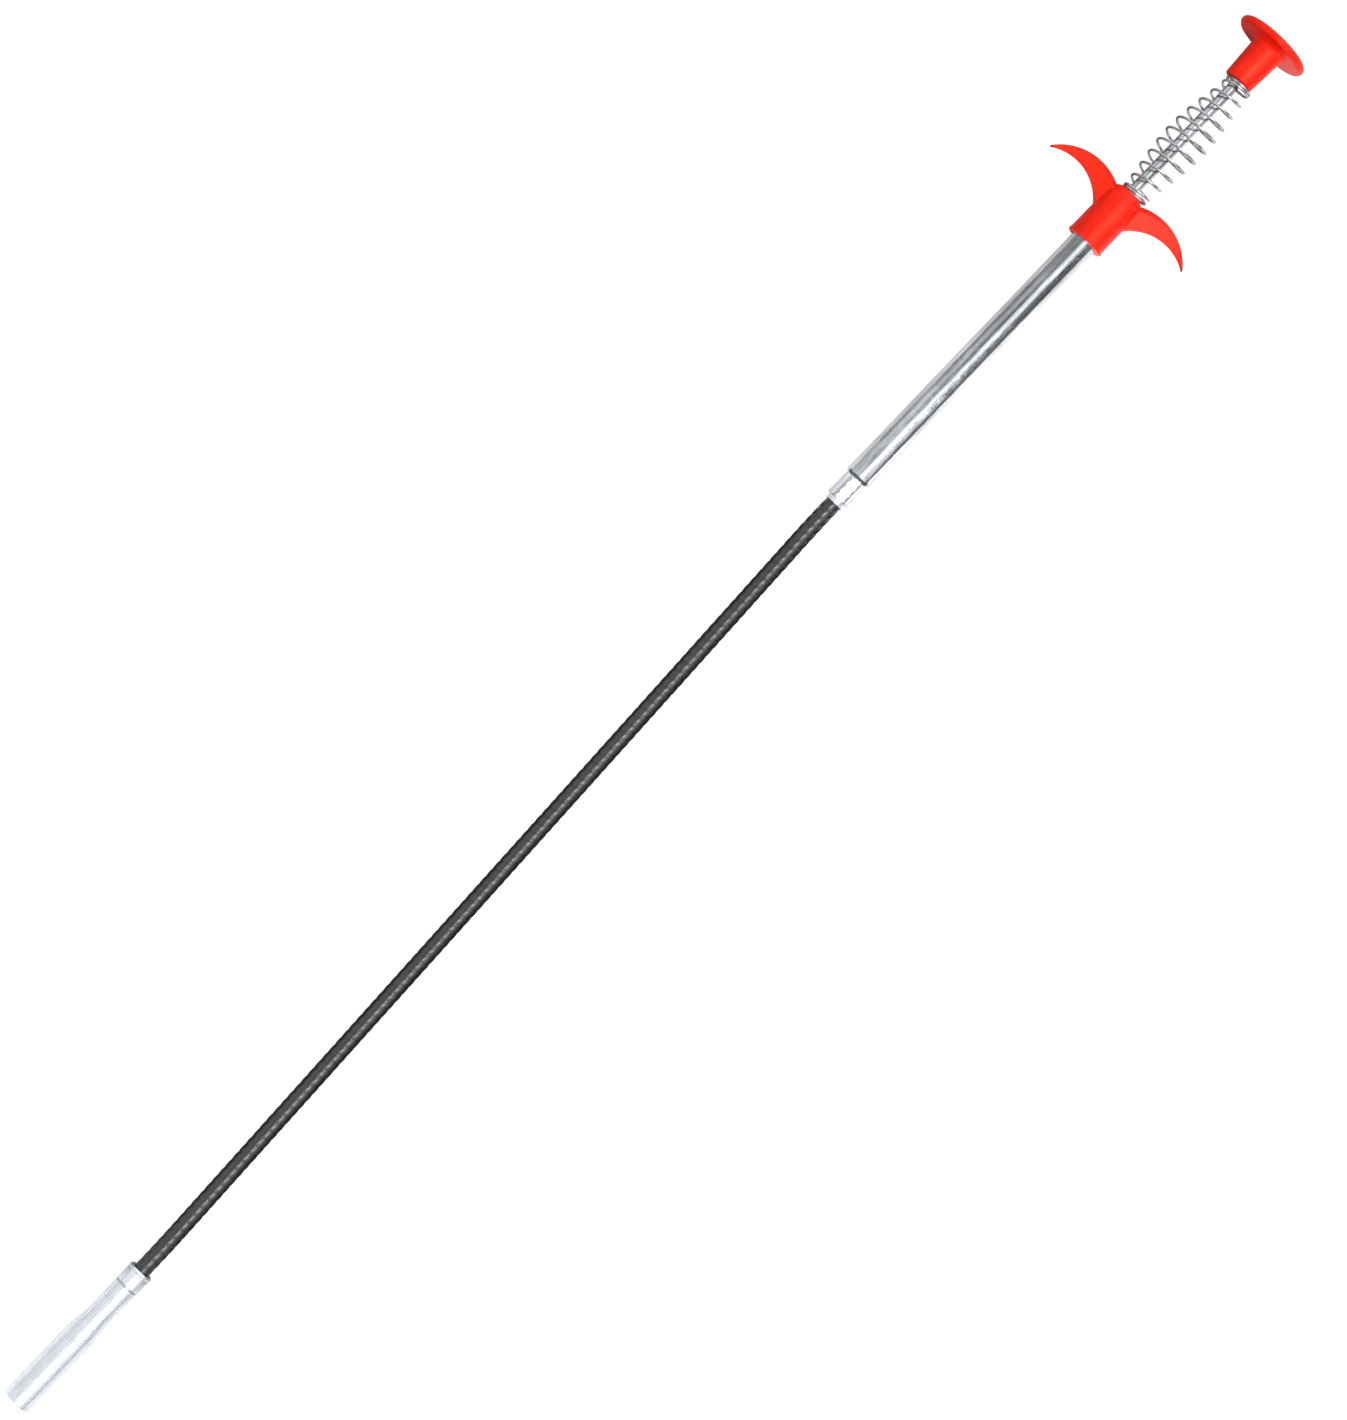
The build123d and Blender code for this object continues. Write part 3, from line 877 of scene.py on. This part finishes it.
class AUGER_OT_thumb_button(bpy.types.Operator):
    """Models the thumb button: a neck over the rod and a wide dished disc"""

    bl_idname = "auger.thumb_button"
    bl_label = "Thumb button"

    def execute(self, context):
        sizes = context.scene.auger_button
        disc_radius = reach("thumb_button")
        under_x = top_x - sizes.disc_thickness
        bore_end_x = neck_x + 13 * MM
        outline = [
            (bore_end_x, sizes.bore_radius),
            (neck_x, sizes.bore_radius),
            (neck_x, sizes.neck_radius - 0.35 * MM),
            (neck_x + 0.25 * MM, sizes.neck_radius - 0.08 * MM),
            (neck_x + 0.6 * MM, sizes.neck_radius),
            (under_x - 3.4 * MM, sizes.root_radius - 0.12 * MM),
        ]
        fillet = 1.6 * MM
        for step in range(8):
            turn = step / 7 * pi / 2
            outline.append(
                (
                    under_x - 0.3 * MM - fillet + fillet * sin(turn),
                    sizes.root_radius + fillet - fillet * cos(turn),
                )
            )
        outline += [
            (under_x - 0.05 * MM, sizes.root_radius + fillet + 0.9 * MM),
            (under_x, disc_radius - 0.9 * MM),
        ]
        rim = sizes.disc_thickness / 2 - 0.1 * MM
        for step in range(9):
            turn = step / 8 * pi - pi / 2
            outline.append((under_x + 0.05 * MM + rim + rim * sin(turn), disc_radius - rim + rim * cos(turn)))
        outline += [(top_x - 0.02 * MM, sizes.dish_radius + 0.8 * MM), (top_x - 0.06 * MM, sizes.dish_radius)]
        for share in (0.8, 0.6, 0.4, 0.2, 0.05):
            outline.append((top_x - sizes.dish_depth * (1 - share**2), sizes.dish_radius * share))
        piece = turned("thumb_button_moulded", outline, handle_axis, segments=128)
        smoothed(piece, radians(40))
        handed_over(piece, "red_plastic", "red_plastic", "thumb_button", body="plunger")
        return {"FINISHED"}


class AUGER_OT_return_spring(bpy.types.Operator):
    """Winds the barrel spring, with a closed turn at each end"""

    bl_idname = "auger.return_spring"
    bl_label = "Return spring"

    points_per_turn = 36
    closed_turns = 1.25

    def execute(self, context):
        sizes = context.scene.auger_spring
        wire = sizes.wire_radius
        first, last = spring_low_x + wire, spring_high_x - wire
        turns = sizes.open_turns + 2 * self.closed_turns
        rise = 2 * wire * self.closed_turns
        nothing_selected()
        bpy.ops.curve.primitive_nurbs_path_add(location=(0, 0, 0))
        line = bpy.context.object
        line.data.splines.clear()
        spline = line.data.splines.new("POLY")
        count = round(turns * self.points_per_turn)
        spline.points.add(count)
        for step in range(count + 1):
            turn = turns * step / count
            from_end = min(turn, turns - turn)
            if from_end < self.closed_turns:
                climb = 2 * wire * from_end
                x = first + climb if turn < turns / 2 else last - climb
            else:
                share = (turn - self.closed_turns) / sizes.open_turns
                x = first + rise + (last - first - 2 * rise) * share
            bulge = sizes.swell * max(0, sin(pi * (x - first) / (last - first))) ** 1.6
            radius = sizes.end_radius + bulge
            angle = tau * turn
            spline.points[step].co = (
                x,
                sizes.sideways + radius * cos(angle),
                handle_axis.z + radius * sin(angle),
                1,
            )
        line.data.bevel_depth = wire
        line.data.bevel_resolution = 4
        line.data.use_fill_caps = True
        chosen(line)
        bpy.ops.object.convert(target="MESH")
        piece = bpy.context.object
        piece.name = piece.data.name = "return_spring_wound"
        settled(piece)
        facing_out(piece)
        smoothed(piece, radians(60))
        handed_over(piece, "spring_wire", "bright_wire", "return_spring", body="handle")
        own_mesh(piece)
        return {"FINISHED"}


class AUGER_OT_finger_grip(bpy.types.Operator):
    """Models the finger grip: a hub with a collar and two curved horns, moulded in one"""

    bl_idname = "auger.finger_grip"
    bl_label = "Finger grip"

    voxel = 0.18 * MM
    stations = 16

    def execute(self, context):
        sizes = context.scene.auger_grip
        hub = self.make_hub(sizes)
        horns = [self.make_horn(sizes, side) for side in (1, -1)]
        chosen(hub)
        for horn in horns:
            horn.select_set(True)
        bpy.ops.object.join()
        modified(hub, "REMESH", mode="VOXEL", voxel_size=self.voxel, use_smooth_shade=True)
        modified(hub, "SMOOTH", factor=0.5, iterations=3)
        bore = turned(
            "bore_cutter",
            [(hub_x - 5 * MM, reach("handle_tube")), (tube_end_x, reach("handle_tube"))],
            handle_axis,
            segments=96,
        )
        rod_hole = turned(
            "rod_cutter",
            [(tube_end_x - 1 * MM, 2.2 * MM), (spring_low_x + 9 * MM, 2.2 * MM)],
            handle_axis,
            segments=64,
        )
        for cutter in (bore, rod_hole):
            modified(hub, "BOOLEAN", operation="DIFFERENCE", object=cutter, solver="EXACT")
            bpy.data.objects.remove(cutter)
        hub.name = hub.data.name = "finger_grip_moulded"
        smoothed(hub, radians(50))
        handed_over(hub, "red_plastic", "red_plastic", "finger_grip", body="handle")
        return {"FINISHED"}

    def make_hub(self, sizes):
        """The hub with its lip and collar."""
        end_x = spring_low_x - 0.05 * MM
        shoulder_x = end_x - sizes.collar_length
        outline = [
            (hub_x, sizes.lip_radius - 0.25 * MM),
            (hub_x + 0.25 * MM, sizes.lip_radius),
            (hub_x + 0.8 * MM, sizes.lip_radius),
            (hub_x + 1.2 * MM, sizes.hub_radius + 0.12 * MM),
            (shoulder_x - 0.5 * MM, sizes.hub_radius),
            (shoulder_x, sizes.hub_radius - 0.3 * MM),
            (shoulder_x + 0.1 * MM, sizes.collar_radius + 0.05 * MM),
            (end_x - 1.1 * MM, sizes.collar_radius - 0.1 * MM),
            (end_x - 0.4 * MM, sizes.collar_radius - 0.5 * MM),
            (end_x, sizes.collar_radius - 1.3 * MM),
        ]
        return turned("grip_hub", outline, handle_axis, segments=96)

    def make_horn(self, sizes, side):
        """One horn, drawn outwards from the hub section by section."""
        end_x = spring_low_x - 0.05 * MM
        root_y, tip_y = 3.2 * MM, horn_y
        sections = []
        for step in range(self.stations + 1):
            share = step / self.stations
            y = root_y + (tip_y - root_y) * share
            back, front = self.horn_edges(sizes, y, tip_y)
            half = sizes.horn_tip + (sizes.horn_root - sizes.horn_tip) * (1 - share) ** 1.6
            sections.append((y * side, end_x + back, end_x + front, half))
        nothing_selected()
        bpy.ops.mesh.primitive_circle_add(
            vertices=8,
            radius=1,
            location=(0, sections[0][0], handle_axis.z),
            rotation=(pi / 2, 0, 0),
        )
        piece = bpy.context.object
        settled(piece)
        bpy.ops.object.mode_set(mode="EDIT")
        bpy.ops.mesh.select_all(action="SELECT")
        for (y, *_), (next_y, *_) in pairwise(sections):
            bpy.ops.mesh.extrude_region_move(TRANSFORM_OT_translate={"value": (0, next_y - y, 0)})
        bpy.ops.object.mode_set(mode="OBJECT")

        def shaped(place):
            """Moves a point of the unit circle to its place on a horn's section."""
            step = round((place.y * side - root_y) / (tip_y - root_y) * self.stations)
            y, back, front, half = sections[step]
            turn = atan2(place.z - handle_axis.z, place.x)
            x, height = self.section_point(turn, back, front, half)
            return Vector((x, y, handle_axis.z + height))

        reshaped(piece, shaped)
        capped(piece)
        return piece

    @staticmethod
    def section_point(turn, back, front, half):
        """The corner of a horn's eight-sided section that lies at that turn, as (x, z)."""
        width = front - back
        corner = round(turn / (pi / 4)) % 8
        corners = (
            (front, 0),
            (front - 0.03 * width, 0.38 * half),
            (front - 0.2 * width, half),
            (back + 0.1 * width, 0.86 * half),
            (back, 0),
            (back + 0.1 * width, -0.86 * half),
            (front - 0.2 * width, -half),
            (front - 0.03 * width, -0.38 * half),
        )
        return corners[corner]

    @staticmethod
    def horn_edges(sizes, y, tip_y):
        """Back and front edge of a horn at y, as x from the spring end of the hub."""
        front = arc_x(
            y,
            (-sizes.horn_back + 0.9 * MM, tip_y),
            (1.45 * MM, 15.7 * MM),
            (0, sizes.hub_radius),
        )
        back = arc_x(
            y,
            (-sizes.horn_back, tip_y),
            (-4.3 * MM, 17.8 * MM),
            (-10.4 * MM, 6.9 * MM),
        )
        return back, front


def arc_x(y, one, two, three):
    """Where the circle through three (x, y) points lies at y, on its +X side."""
    (x1, y1), (x2, y2), (x3, y3) = one, two, three
    d = 2 * (x1 * (y2 - y3) + x2 * (y3 - y1) + x3 * (y1 - y2))
    s1, s2, s3 = x1**2 + y1**2, x2**2 + y2**2, x3**2 + y3**2
    cx = (s1 * (y2 - y3) + s2 * (y3 - y1) + s3 * (y1 - y2)) / d
    cy = (s1 * (x3 - x2) + s2 * (x1 - x3) + s3 * (x2 - x1)) / d
    return cx + max(0, (x1 - cx) ** 2 + (y1 - cy) ** 2 - (y - cy) ** 2) ** 0.5


class AUGER_OT_handle_tube(bpy.types.Operator):
    """Models the handle tube, with flats and punch marks where it is crimped on the shaft"""

    bl_idname = "auger.handle_tube"
    bl_label = "Handle tube"

    flats = 6
    flat_turn = radians(95)
    dimple_spread = 0.42 * MM

    def execute(self, context):
        sizes = context.scene.auger_tube
        radius = reach("handle_tube")
        bore = sizes.bore
        outline = [(crimp_x + 0.3 * MM, bore), (crimp_x, bore + 0.15 * MM), (crimp_x, sizes.crimp_radius - 0.3 * MM)]
        rings = 44
        reach_x = tube_x + 1.2 * MM - crimp_x
        for step in range(rings + 1):
            x = crimp_x + 0.15 * MM + (reach_x - 0.15 * MM) * step / rings
            swell = smoothstep((x - tube_x + 1.0 * MM) / (1.8 * MM))
            outline.append((x, sizes.crimp_radius + (radius - sizes.crimp_radius) * swell))
        outline += [
            (hub_x + 2 * MM, radius),
            (tube_end_x, radius),
            (tube_end_x, radius - sizes.wall),
            (tube_x, radius - sizes.wall),
            (tube_x, bore),
            outline[0],
        ]
        piece = turned("handle_tube_crimped", outline, handle_axis, segments=144)
        reshaped(piece, lambda place: self.crimped(place, sizes, bore))
        smoothed(piece, radians(32))
        handed_over(piece, "chrome_plate", "chromed_steel", "handle_tube", body="handle")
        return {"FINISHED"}

    def crimped(self, place, sizes, bore):
        """Presses the outside of the crimp into flats, with a groove near where the crimp meets the full tube, and
        rows of punch marks.
        """
        offset = place - Vector((place.x, 0, handle_axis.z))
        distance = offset.length
        if place.x > tube_x + 1.2 * MM or distance < bore + 0.2 * MM:
            return place
        angle = atan2(offset.z, offset.y)
        facet = tau / self.flats
        from_flat = (angle - self.flat_turn + facet / 2) % facet - facet / 2
        pressed = sizes.flats_radius / cos(from_flat)
        fade = 1 - smoothstep((place.x - tube_x + 1.9 * MM) / (1.7 * MM))
        wanted = min(distance, pressed)
        groove_x = tube_x - 0.7 * MM
        groove = 0.3 * MM * exp(-(((place.x - groove_x) / (0.35 * MM)) ** 2))
        mark = 0.0
        for row in range(3):
            row_x = crimp_x + (2.0 + 2.7 * row) * MM
            across = sizes.flats_radius * (from_flat - facet / 2 * (1 if from_flat > 0 else -1))
            mark = max(mark, exp(-(((place.x - row_x) ** 2 + across**2) / self.dimple_spread**2)))
        wanted = distance + (wanted - distance) * fade - groove - sizes.dimple_depth * mark * fade
        return place - offset + offset * (wanted / distance)


class AUGER_OT_shaft(bpy.types.Operator):
    """Models the flexible shaft: the ribbed sleeve, the casing coil inside it and the stranded cable"""

    bl_idname = "auger.shaft"
    bl_label = "Flexible shaft"

    def execute(self, context):
        sizes = context.scene.auger_shaft
        for piece, finish_name, slot, node in (
            (self.make_sleeve(sizes), "black_sleeve", "black_sleeve", "shaft_sleeve"),
            (self.make_casing(sizes), "turned_steel", "spring_steel", "casing_coil"),
            (self.make_cable(sizes), "turned_steel", "spring_steel", "drive_cable"),
        ):
            laid_along_shaft(piece)
            handed_over(piece, finish_name, slot, node)
            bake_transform(piece)
        return {"FINISHED"}

    def make_sleeve(self, sizes):
        """A thin sleeve with shallow ridges wound round it."""
        lead = sizes.ridge_pitch * sizes.ridge_starts
        outer = reach_across_sleeve()
        cuts = 10 * sizes.ridge_starts
        piece = plane_edge("shaft_sleeve_ribbed", lead, outer, lambda place: place.y > 0)
        bpy.ops.mesh.subdivide(number_cuts=cuts - 1)
        bpy.ops.object.mode_set(mode="OBJECT")

        def ridged(place):
            """Lays the line beside the X axis, with a rounded ridge every pitch."""
            phase = (place.x + lead / 2) / sizes.ridge_pitch % 1
            drop = sizes.ridge_height * (2 * phase - 1) ** 2
            return Vector((place.x + lead / 2, 0, outer - drop))

        reshaped(piece, ridged)
        run = shaft_handle_x - sleeve_tip_x
        turns = int(run / lead) + 3
        wound(piece, lead, turns, 30)
        reshaped(piece, lambda place: place + Vector((sleeve_tip_x - 1.5 * lead, 0, 0)))
        facing_out(piece, 2e-6)
        cut_open(piece, sleeve_tip_x, -1)
        cut_open(piece, shaft_handle_x, 1)
        modified(piece, "SOLIDIFY", thickness=sizes.sleeve_wall, offset=-1)
        smoothed(piece, radians(60))
        return piece

    def make_casing(self, sizes):
        """A close-wound coil of square wire under the sleeve."""
        wire = sizes.casing_wire
        low, high = ends("casing_coil")
        piece = close_coil(
            "casing_coil_wound",
            low,
            high,
            sizes.casing_radius - wire / 2,
            wire,
            wire * 0.96,
            wire * 0.18,
            12,
            segments=1,
        )
        smoothed(piece, radians(50))
        return piece

    def make_cable(self, sizes):
        """A cable whose six outer strands show as lobes that twist along it."""
        strands, lay = 6, 14 * MM
        rings = 260
        piece = new_ring("drive_cable_stranded", cable_low_x, sizes.cable_radius, Vector((0, 0, 0)), 24)
        run = cable_high_x - cable_low_x
        bpy.ops.mesh.extrude_region_move(TRANSFORM_OT_translate={"value": (run / rings, 0, 0)})
        bpy.ops.object.mode_set(mode="OBJECT")
        modified(
            piece,
            "ARRAY",
            count=rings,
            use_relative_offset=False,
            use_constant_offset=True,
            constant_offset_displace=(run / rings, 0, 0),
            use_merge_vertices=True,
            merge_threshold=1e-6,
        )

        def stranded(place):
            """Draws the surface in between the strands."""
            angle = atan2(place.z, place.y) + tau * place.x / lay
            share = 1 - 0.13 * (1 - abs(sin(strands / 2 * angle)))
            return Vector((place.x, place.y * share, place.z * share))

        reshaped(piece, stranded)
        capped(piece)
        smoothed(piece, radians(50))
        return piece


def reach_across_sleeve():
    """The sleeve's outer radius, from its height less the fall of its centre line."""
    low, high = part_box("shaft_sleeve")
    return (high.z - low.z - (handle_axis.z - guide_axis.z)) / 2


def cut_open(piece, x, side):
    """Cuts a thin piece square to the tool's length and leaves the cut open."""
    chosen(piece)
    bpy.ops.object.mode_set(mode="EDIT")
    bpy.ops.mesh.select_all(action="SELECT")
    bpy.ops.mesh.bisect(plane_co=(x, 0, 0), plane_no=(side, 0, 0), clear_outer=True)
    bpy.ops.object.mode_set(mode="OBJECT")


class AUGER_OT_tip_ferrule(bpy.types.Operator):
    """Models the ferrule between the shaft and the claw guide"""

    bl_idname = "auger.tip_ferrule"
    bl_label = "Tip ferrule"

    def execute(self, context):
        sizes = context.scene.auger_guide
        sleeve = reach_across_sleeve() + 0.03 * MM
        spigot = sizes.neck_radius - sizes.wire
        lip_x = shaft_tip_x - sizes.lip_length
        outline = [
            (spigot_x, 1.5 * MM),
            (spigot_x, spigot - 0.3 * MM),
            (spigot_x + 0.3 * MM, spigot),
            (guide_back_x + 0.45 * MM, spigot),
            (guide_back_x + 0.45 * MM, sizes.ferrule_radius - 0.2 * MM),
            (guide_back_x + 0.65 * MM, sizes.ferrule_radius - 0.02 * MM),
            (guide_back_x + 0.9 * MM, sizes.ferrule_radius),
            (lip_x - 0.25 * MM, sizes.ferrule_radius),
            (lip_x, sizes.ferrule_radius - 0.14 * MM),
            (lip_x + 0.2 * MM, sizes.ferrule_radius + 0.1 * MM),
            (lip_x + 0.5 * MM, sizes.ferrule_radius + 0.2 * MM),
            (lip_x + 0.9 * MM, sizes.ferrule_radius + 0.12 * MM),
            (shaft_tip_x, sizes.ferrule_radius - 0.25 * MM),
            (shaft_tip_x, sleeve + sizes.mouth_width),
            (shaft_tip_x - sizes.mouth_width, sleeve),
            (shaft_tip_x - 2 * MM, sleeve),
            (shaft_tip_x - 2 * MM, 1.5 * MM),
            (spigot_x, 1.5 * MM),
        ]
        piece = turned("tip_ferrule_turned", outline, guide_axis, segments=96)
        smoothed(piece, radians(40))
        handed_over(piece, "zinc_plate", "zinc_plated_steel", "tip_ferrule", body="tip")
        return {"FINISHED"}


class AUGER_OT_claw_guide(bpy.types.Operator):
    """Winds the close coil that flares towards its mouth"""

    bl_idname = "auger.claw_guide"
    bl_label = "Claw guide"

    def execute(self, context):
        sizes = context.scene.auger_guide
        barrel = reach("claw_guide")
        wire = sizes.wire
        piece = close_coil(
            "claw_guide_wound",
            mouth_x,
            guide_back_x,
            barrel - wire / 2,
            wire,
            wire * 0.985,
            wire * 0.14,
            60,
        )

        def flared(place):
            """Draws the coil in towards its neck."""
            share = smoothstep((place.x - mouth_x - sizes.flare_start) / (sizes.flare_end - sizes.flare_start))
            distance = hypot(place.y, place.z)
            drawn_in = (distance - (barrel - sizes.neck_radius) * share) / distance
            return Vector((place.x, place.y * drawn_in, place.z * drawn_in)) + guide_axis

        reshaped(piece, flared)
        smoothed(piece, radians(50))
        handed_over(piece, "zinc_plate", "zinc_plated_steel", "claw_guide", body="tip")
        return {"FINISHED"}


class AUGER_OT_claws(bpy.types.Operator):
    """Bends the four spring claws from flat strip"""

    bl_idname = "auger.claws"
    bl_label = "Claws"

    flex_length = 7 * MM

    def execute(self, context):
        sizes = context.scene.auger_claw
        for number in range(4):
            name = f"claw_{number + 1}"
            hinge = hinges[f"{name}_spread"]
            piece = self.make_strip(sizes, name, hinge, number % 2)
            handed_over(piece, "claw_steel", "claw_steel", name)
            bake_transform(piece)
        return {"FINISHED"}

    def make_strip(self, sizes, name, hinge, shorter):
        """One claw: a strip with a hooked end, swung round to its own side of the guide."""
        outward = hinge - guide_axis - Vector((hinge.x, 0, 0))
        pivot_radius = outward.length
        clocking = atan2(outward.z, outward.y)
        line = self.middle_line(sizes, hinge.x, pivot_radius, shorter)
        piece = plane_edge(f"{name}_strip", sizes.width, 0, lambda place: place.x > 0)
        here = Vector((-sizes.width / 2, 0, 0))
        bpy.ops.transform.translate(value=line[0] - here)
        for one, two in pairwise(line):
            bpy.ops.mesh.extrude_region_move(TRANSFORM_OT_translate={"value": two - one})
        bpy.ops.mesh.select_all(action="SELECT")
        bpy.ops.mesh.normals_make_consistent(inside=False)
        bpy.ops.object.mode_set(mode="OBJECT")
        self.taper_tip(piece, sizes, line)
        modified(piece, "SOLIDIFY", thickness=sizes.thickness, offset=0)
        modified(
            piece, "BEVEL", width=0.07 * MM, segments=2, limit_method="ANGLE", angle_limit=radians(40)
        )
        piece.matrix_world = Matrix.Translation(guide_axis) @ Matrix.Rotation(clocking - pi / 2, 4, "X")
        settled(piece)
        facing_out(piece)
        smoothed(piece, radians(40))
        return piece

    @staticmethod
    def taper_tip(piece, sizes, line):
        """Narrows the hooked end to a blunt point."""
        end = line[-1]
        for vertex in piece.data.vertices:
            gap = hypot(vertex.co.x - end.x, vertex.co.z - end.z)
            share = min(1, 0.45 + 0.55 * gap / (1.4 * MM))
            vertex.co.y *= share

    @staticmethod
    def middle_line(sizes, pivot_x, pivot_radius, shorter):
        """Middle line of a claw in the plane through the guide's axis, as points (x, 0, radius)."""
        bend_x = mouth_x + sizes.mouth_gap + sizes.stagger * shorter
        reach_x = pivot_x - bend_x
        rise = sizes.tip_radius - pivot_radius
        lean = asin(rise / hypot(reach_x, rise))
        hook = lean - sizes.hook_turn
        along = Vector((-cos(lean), 0, sin(lean)))
        down = Vector((-cos(hook), 0, sin(hook)))
        corner = Vector((bend_x, 0, sizes.tip_radius))
        root = Vector((pivot_x, 0, pivot_radius)) - along * sizes.root_length
        tangent = sizes.bend_radius * (1 - cos(sizes.hook_turn)) / sin(sizes.hook_turn)
        before, after = corner - along * tangent, corner + down * tangent
        inward = Vector((-along.z, 0, along.x))
        centre = before + inward * sizes.bend_radius
        straight = [root.lerp(before, step / 16) for step in range(17)]
        bend = []
        for step in range(1, 9):
            turn = sizes.hook_turn * step / 8
            bend.append(centre - inward * sizes.bend_radius * cos(turn) + along * sizes.bend_radius * sin(turn))
        hook_points = [after.lerp(corner + down * sizes.hook_length, step / 5) for step in range(1, 6)]
        return straight + bend + hook_points


class AUGER_OT_kept_parts(bpy.types.Operator):
    """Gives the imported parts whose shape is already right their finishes"""

    bl_idname = "auger.kept_parts"
    bl_label = "Kept parts"

    finishes = {
        "plunger_rod": "chrome_plate",
        "shaft_ferrule": "zinc_plate",
        "stop_collar": "turned_steel",
        "rod_coupler": "turned_steel",
        "rod_bush": "white_nylon",
        "claw_block": "turned_steel",
        "claw_band": "turned_steel",
    }

    def execute(self, context):
        for node, finish_name in self.finishes.items():
            finished(frame["nodes"][node], finish_name)
        return {"FINISHED"}


OPERATORS = (
    AUGER_OT_stage,
    AUGER_OT_thumb_button,
    AUGER_OT_return_spring,
    AUGER_OT_finger_grip,
    AUGER_OT_handle_tube,
    AUGER_OT_shaft,
    AUGER_OT_tip_ferrule,
    AUGER_OT_claw_guide,
    AUGER_OT_claws,
    AUGER_OT_kept_parts,
)


class AUGER_PT_panel(bpy.types.Panel):
    """Sidebar panel with the tool's sizes, colours and pieces"""

    bl_idname = "AUGER_PT_panel"
    bl_label = "Drain auger"
    bl_space_type = "VIEW_3D"
    bl_region_type = "UI"
    bl_category = "Auger"

    def draw(self, context):
        for holder in PROPERTY_GROUPS:
            box = self.layout.box()
            group = getattr(context.scene, holder)
            for name in group.__annotations__:
                box.prop(group, name)
        for operator in OPERATORS:
            self.layout.operator(operator.bl_idname)


def register():
    for holder, group in PROPERTY_GROUPS.items():
        bpy.utils.register_class(group)
        setattr(bpy.types.Scene, holder, PointerProperty(type=group))
    for cls in (*OPERATORS, AUGER_PT_panel):
        bpy.utils.register_class(cls)


def unregister():
    for cls in reversed((*OPERATORS, AUGER_PT_panel)):
        bpy.utils.unregister_class(cls)
    for holder, group in PROPERTY_GROUPS.items():
        delattr(bpy.types.Scene, holder)
        bpy.utils.unregister_class(group)


def main():
    register()
    bpy.ops.auger.stage()
    bpy.ops.auger.thumb_button()
    bpy.ops.auger.return_spring()
    bpy.ops.auger.finger_grip()
    bpy.ops.auger.handle_tube()
    bpy.ops.auger.shaft()
    bpy.ops.auger.tip_ferrule()
    bpy.ops.auger.claw_guide()
    bpy.ops.auger.claws()
    bpy.ops.auger.kept_parts()


if __name__ == "__main__":
    main()
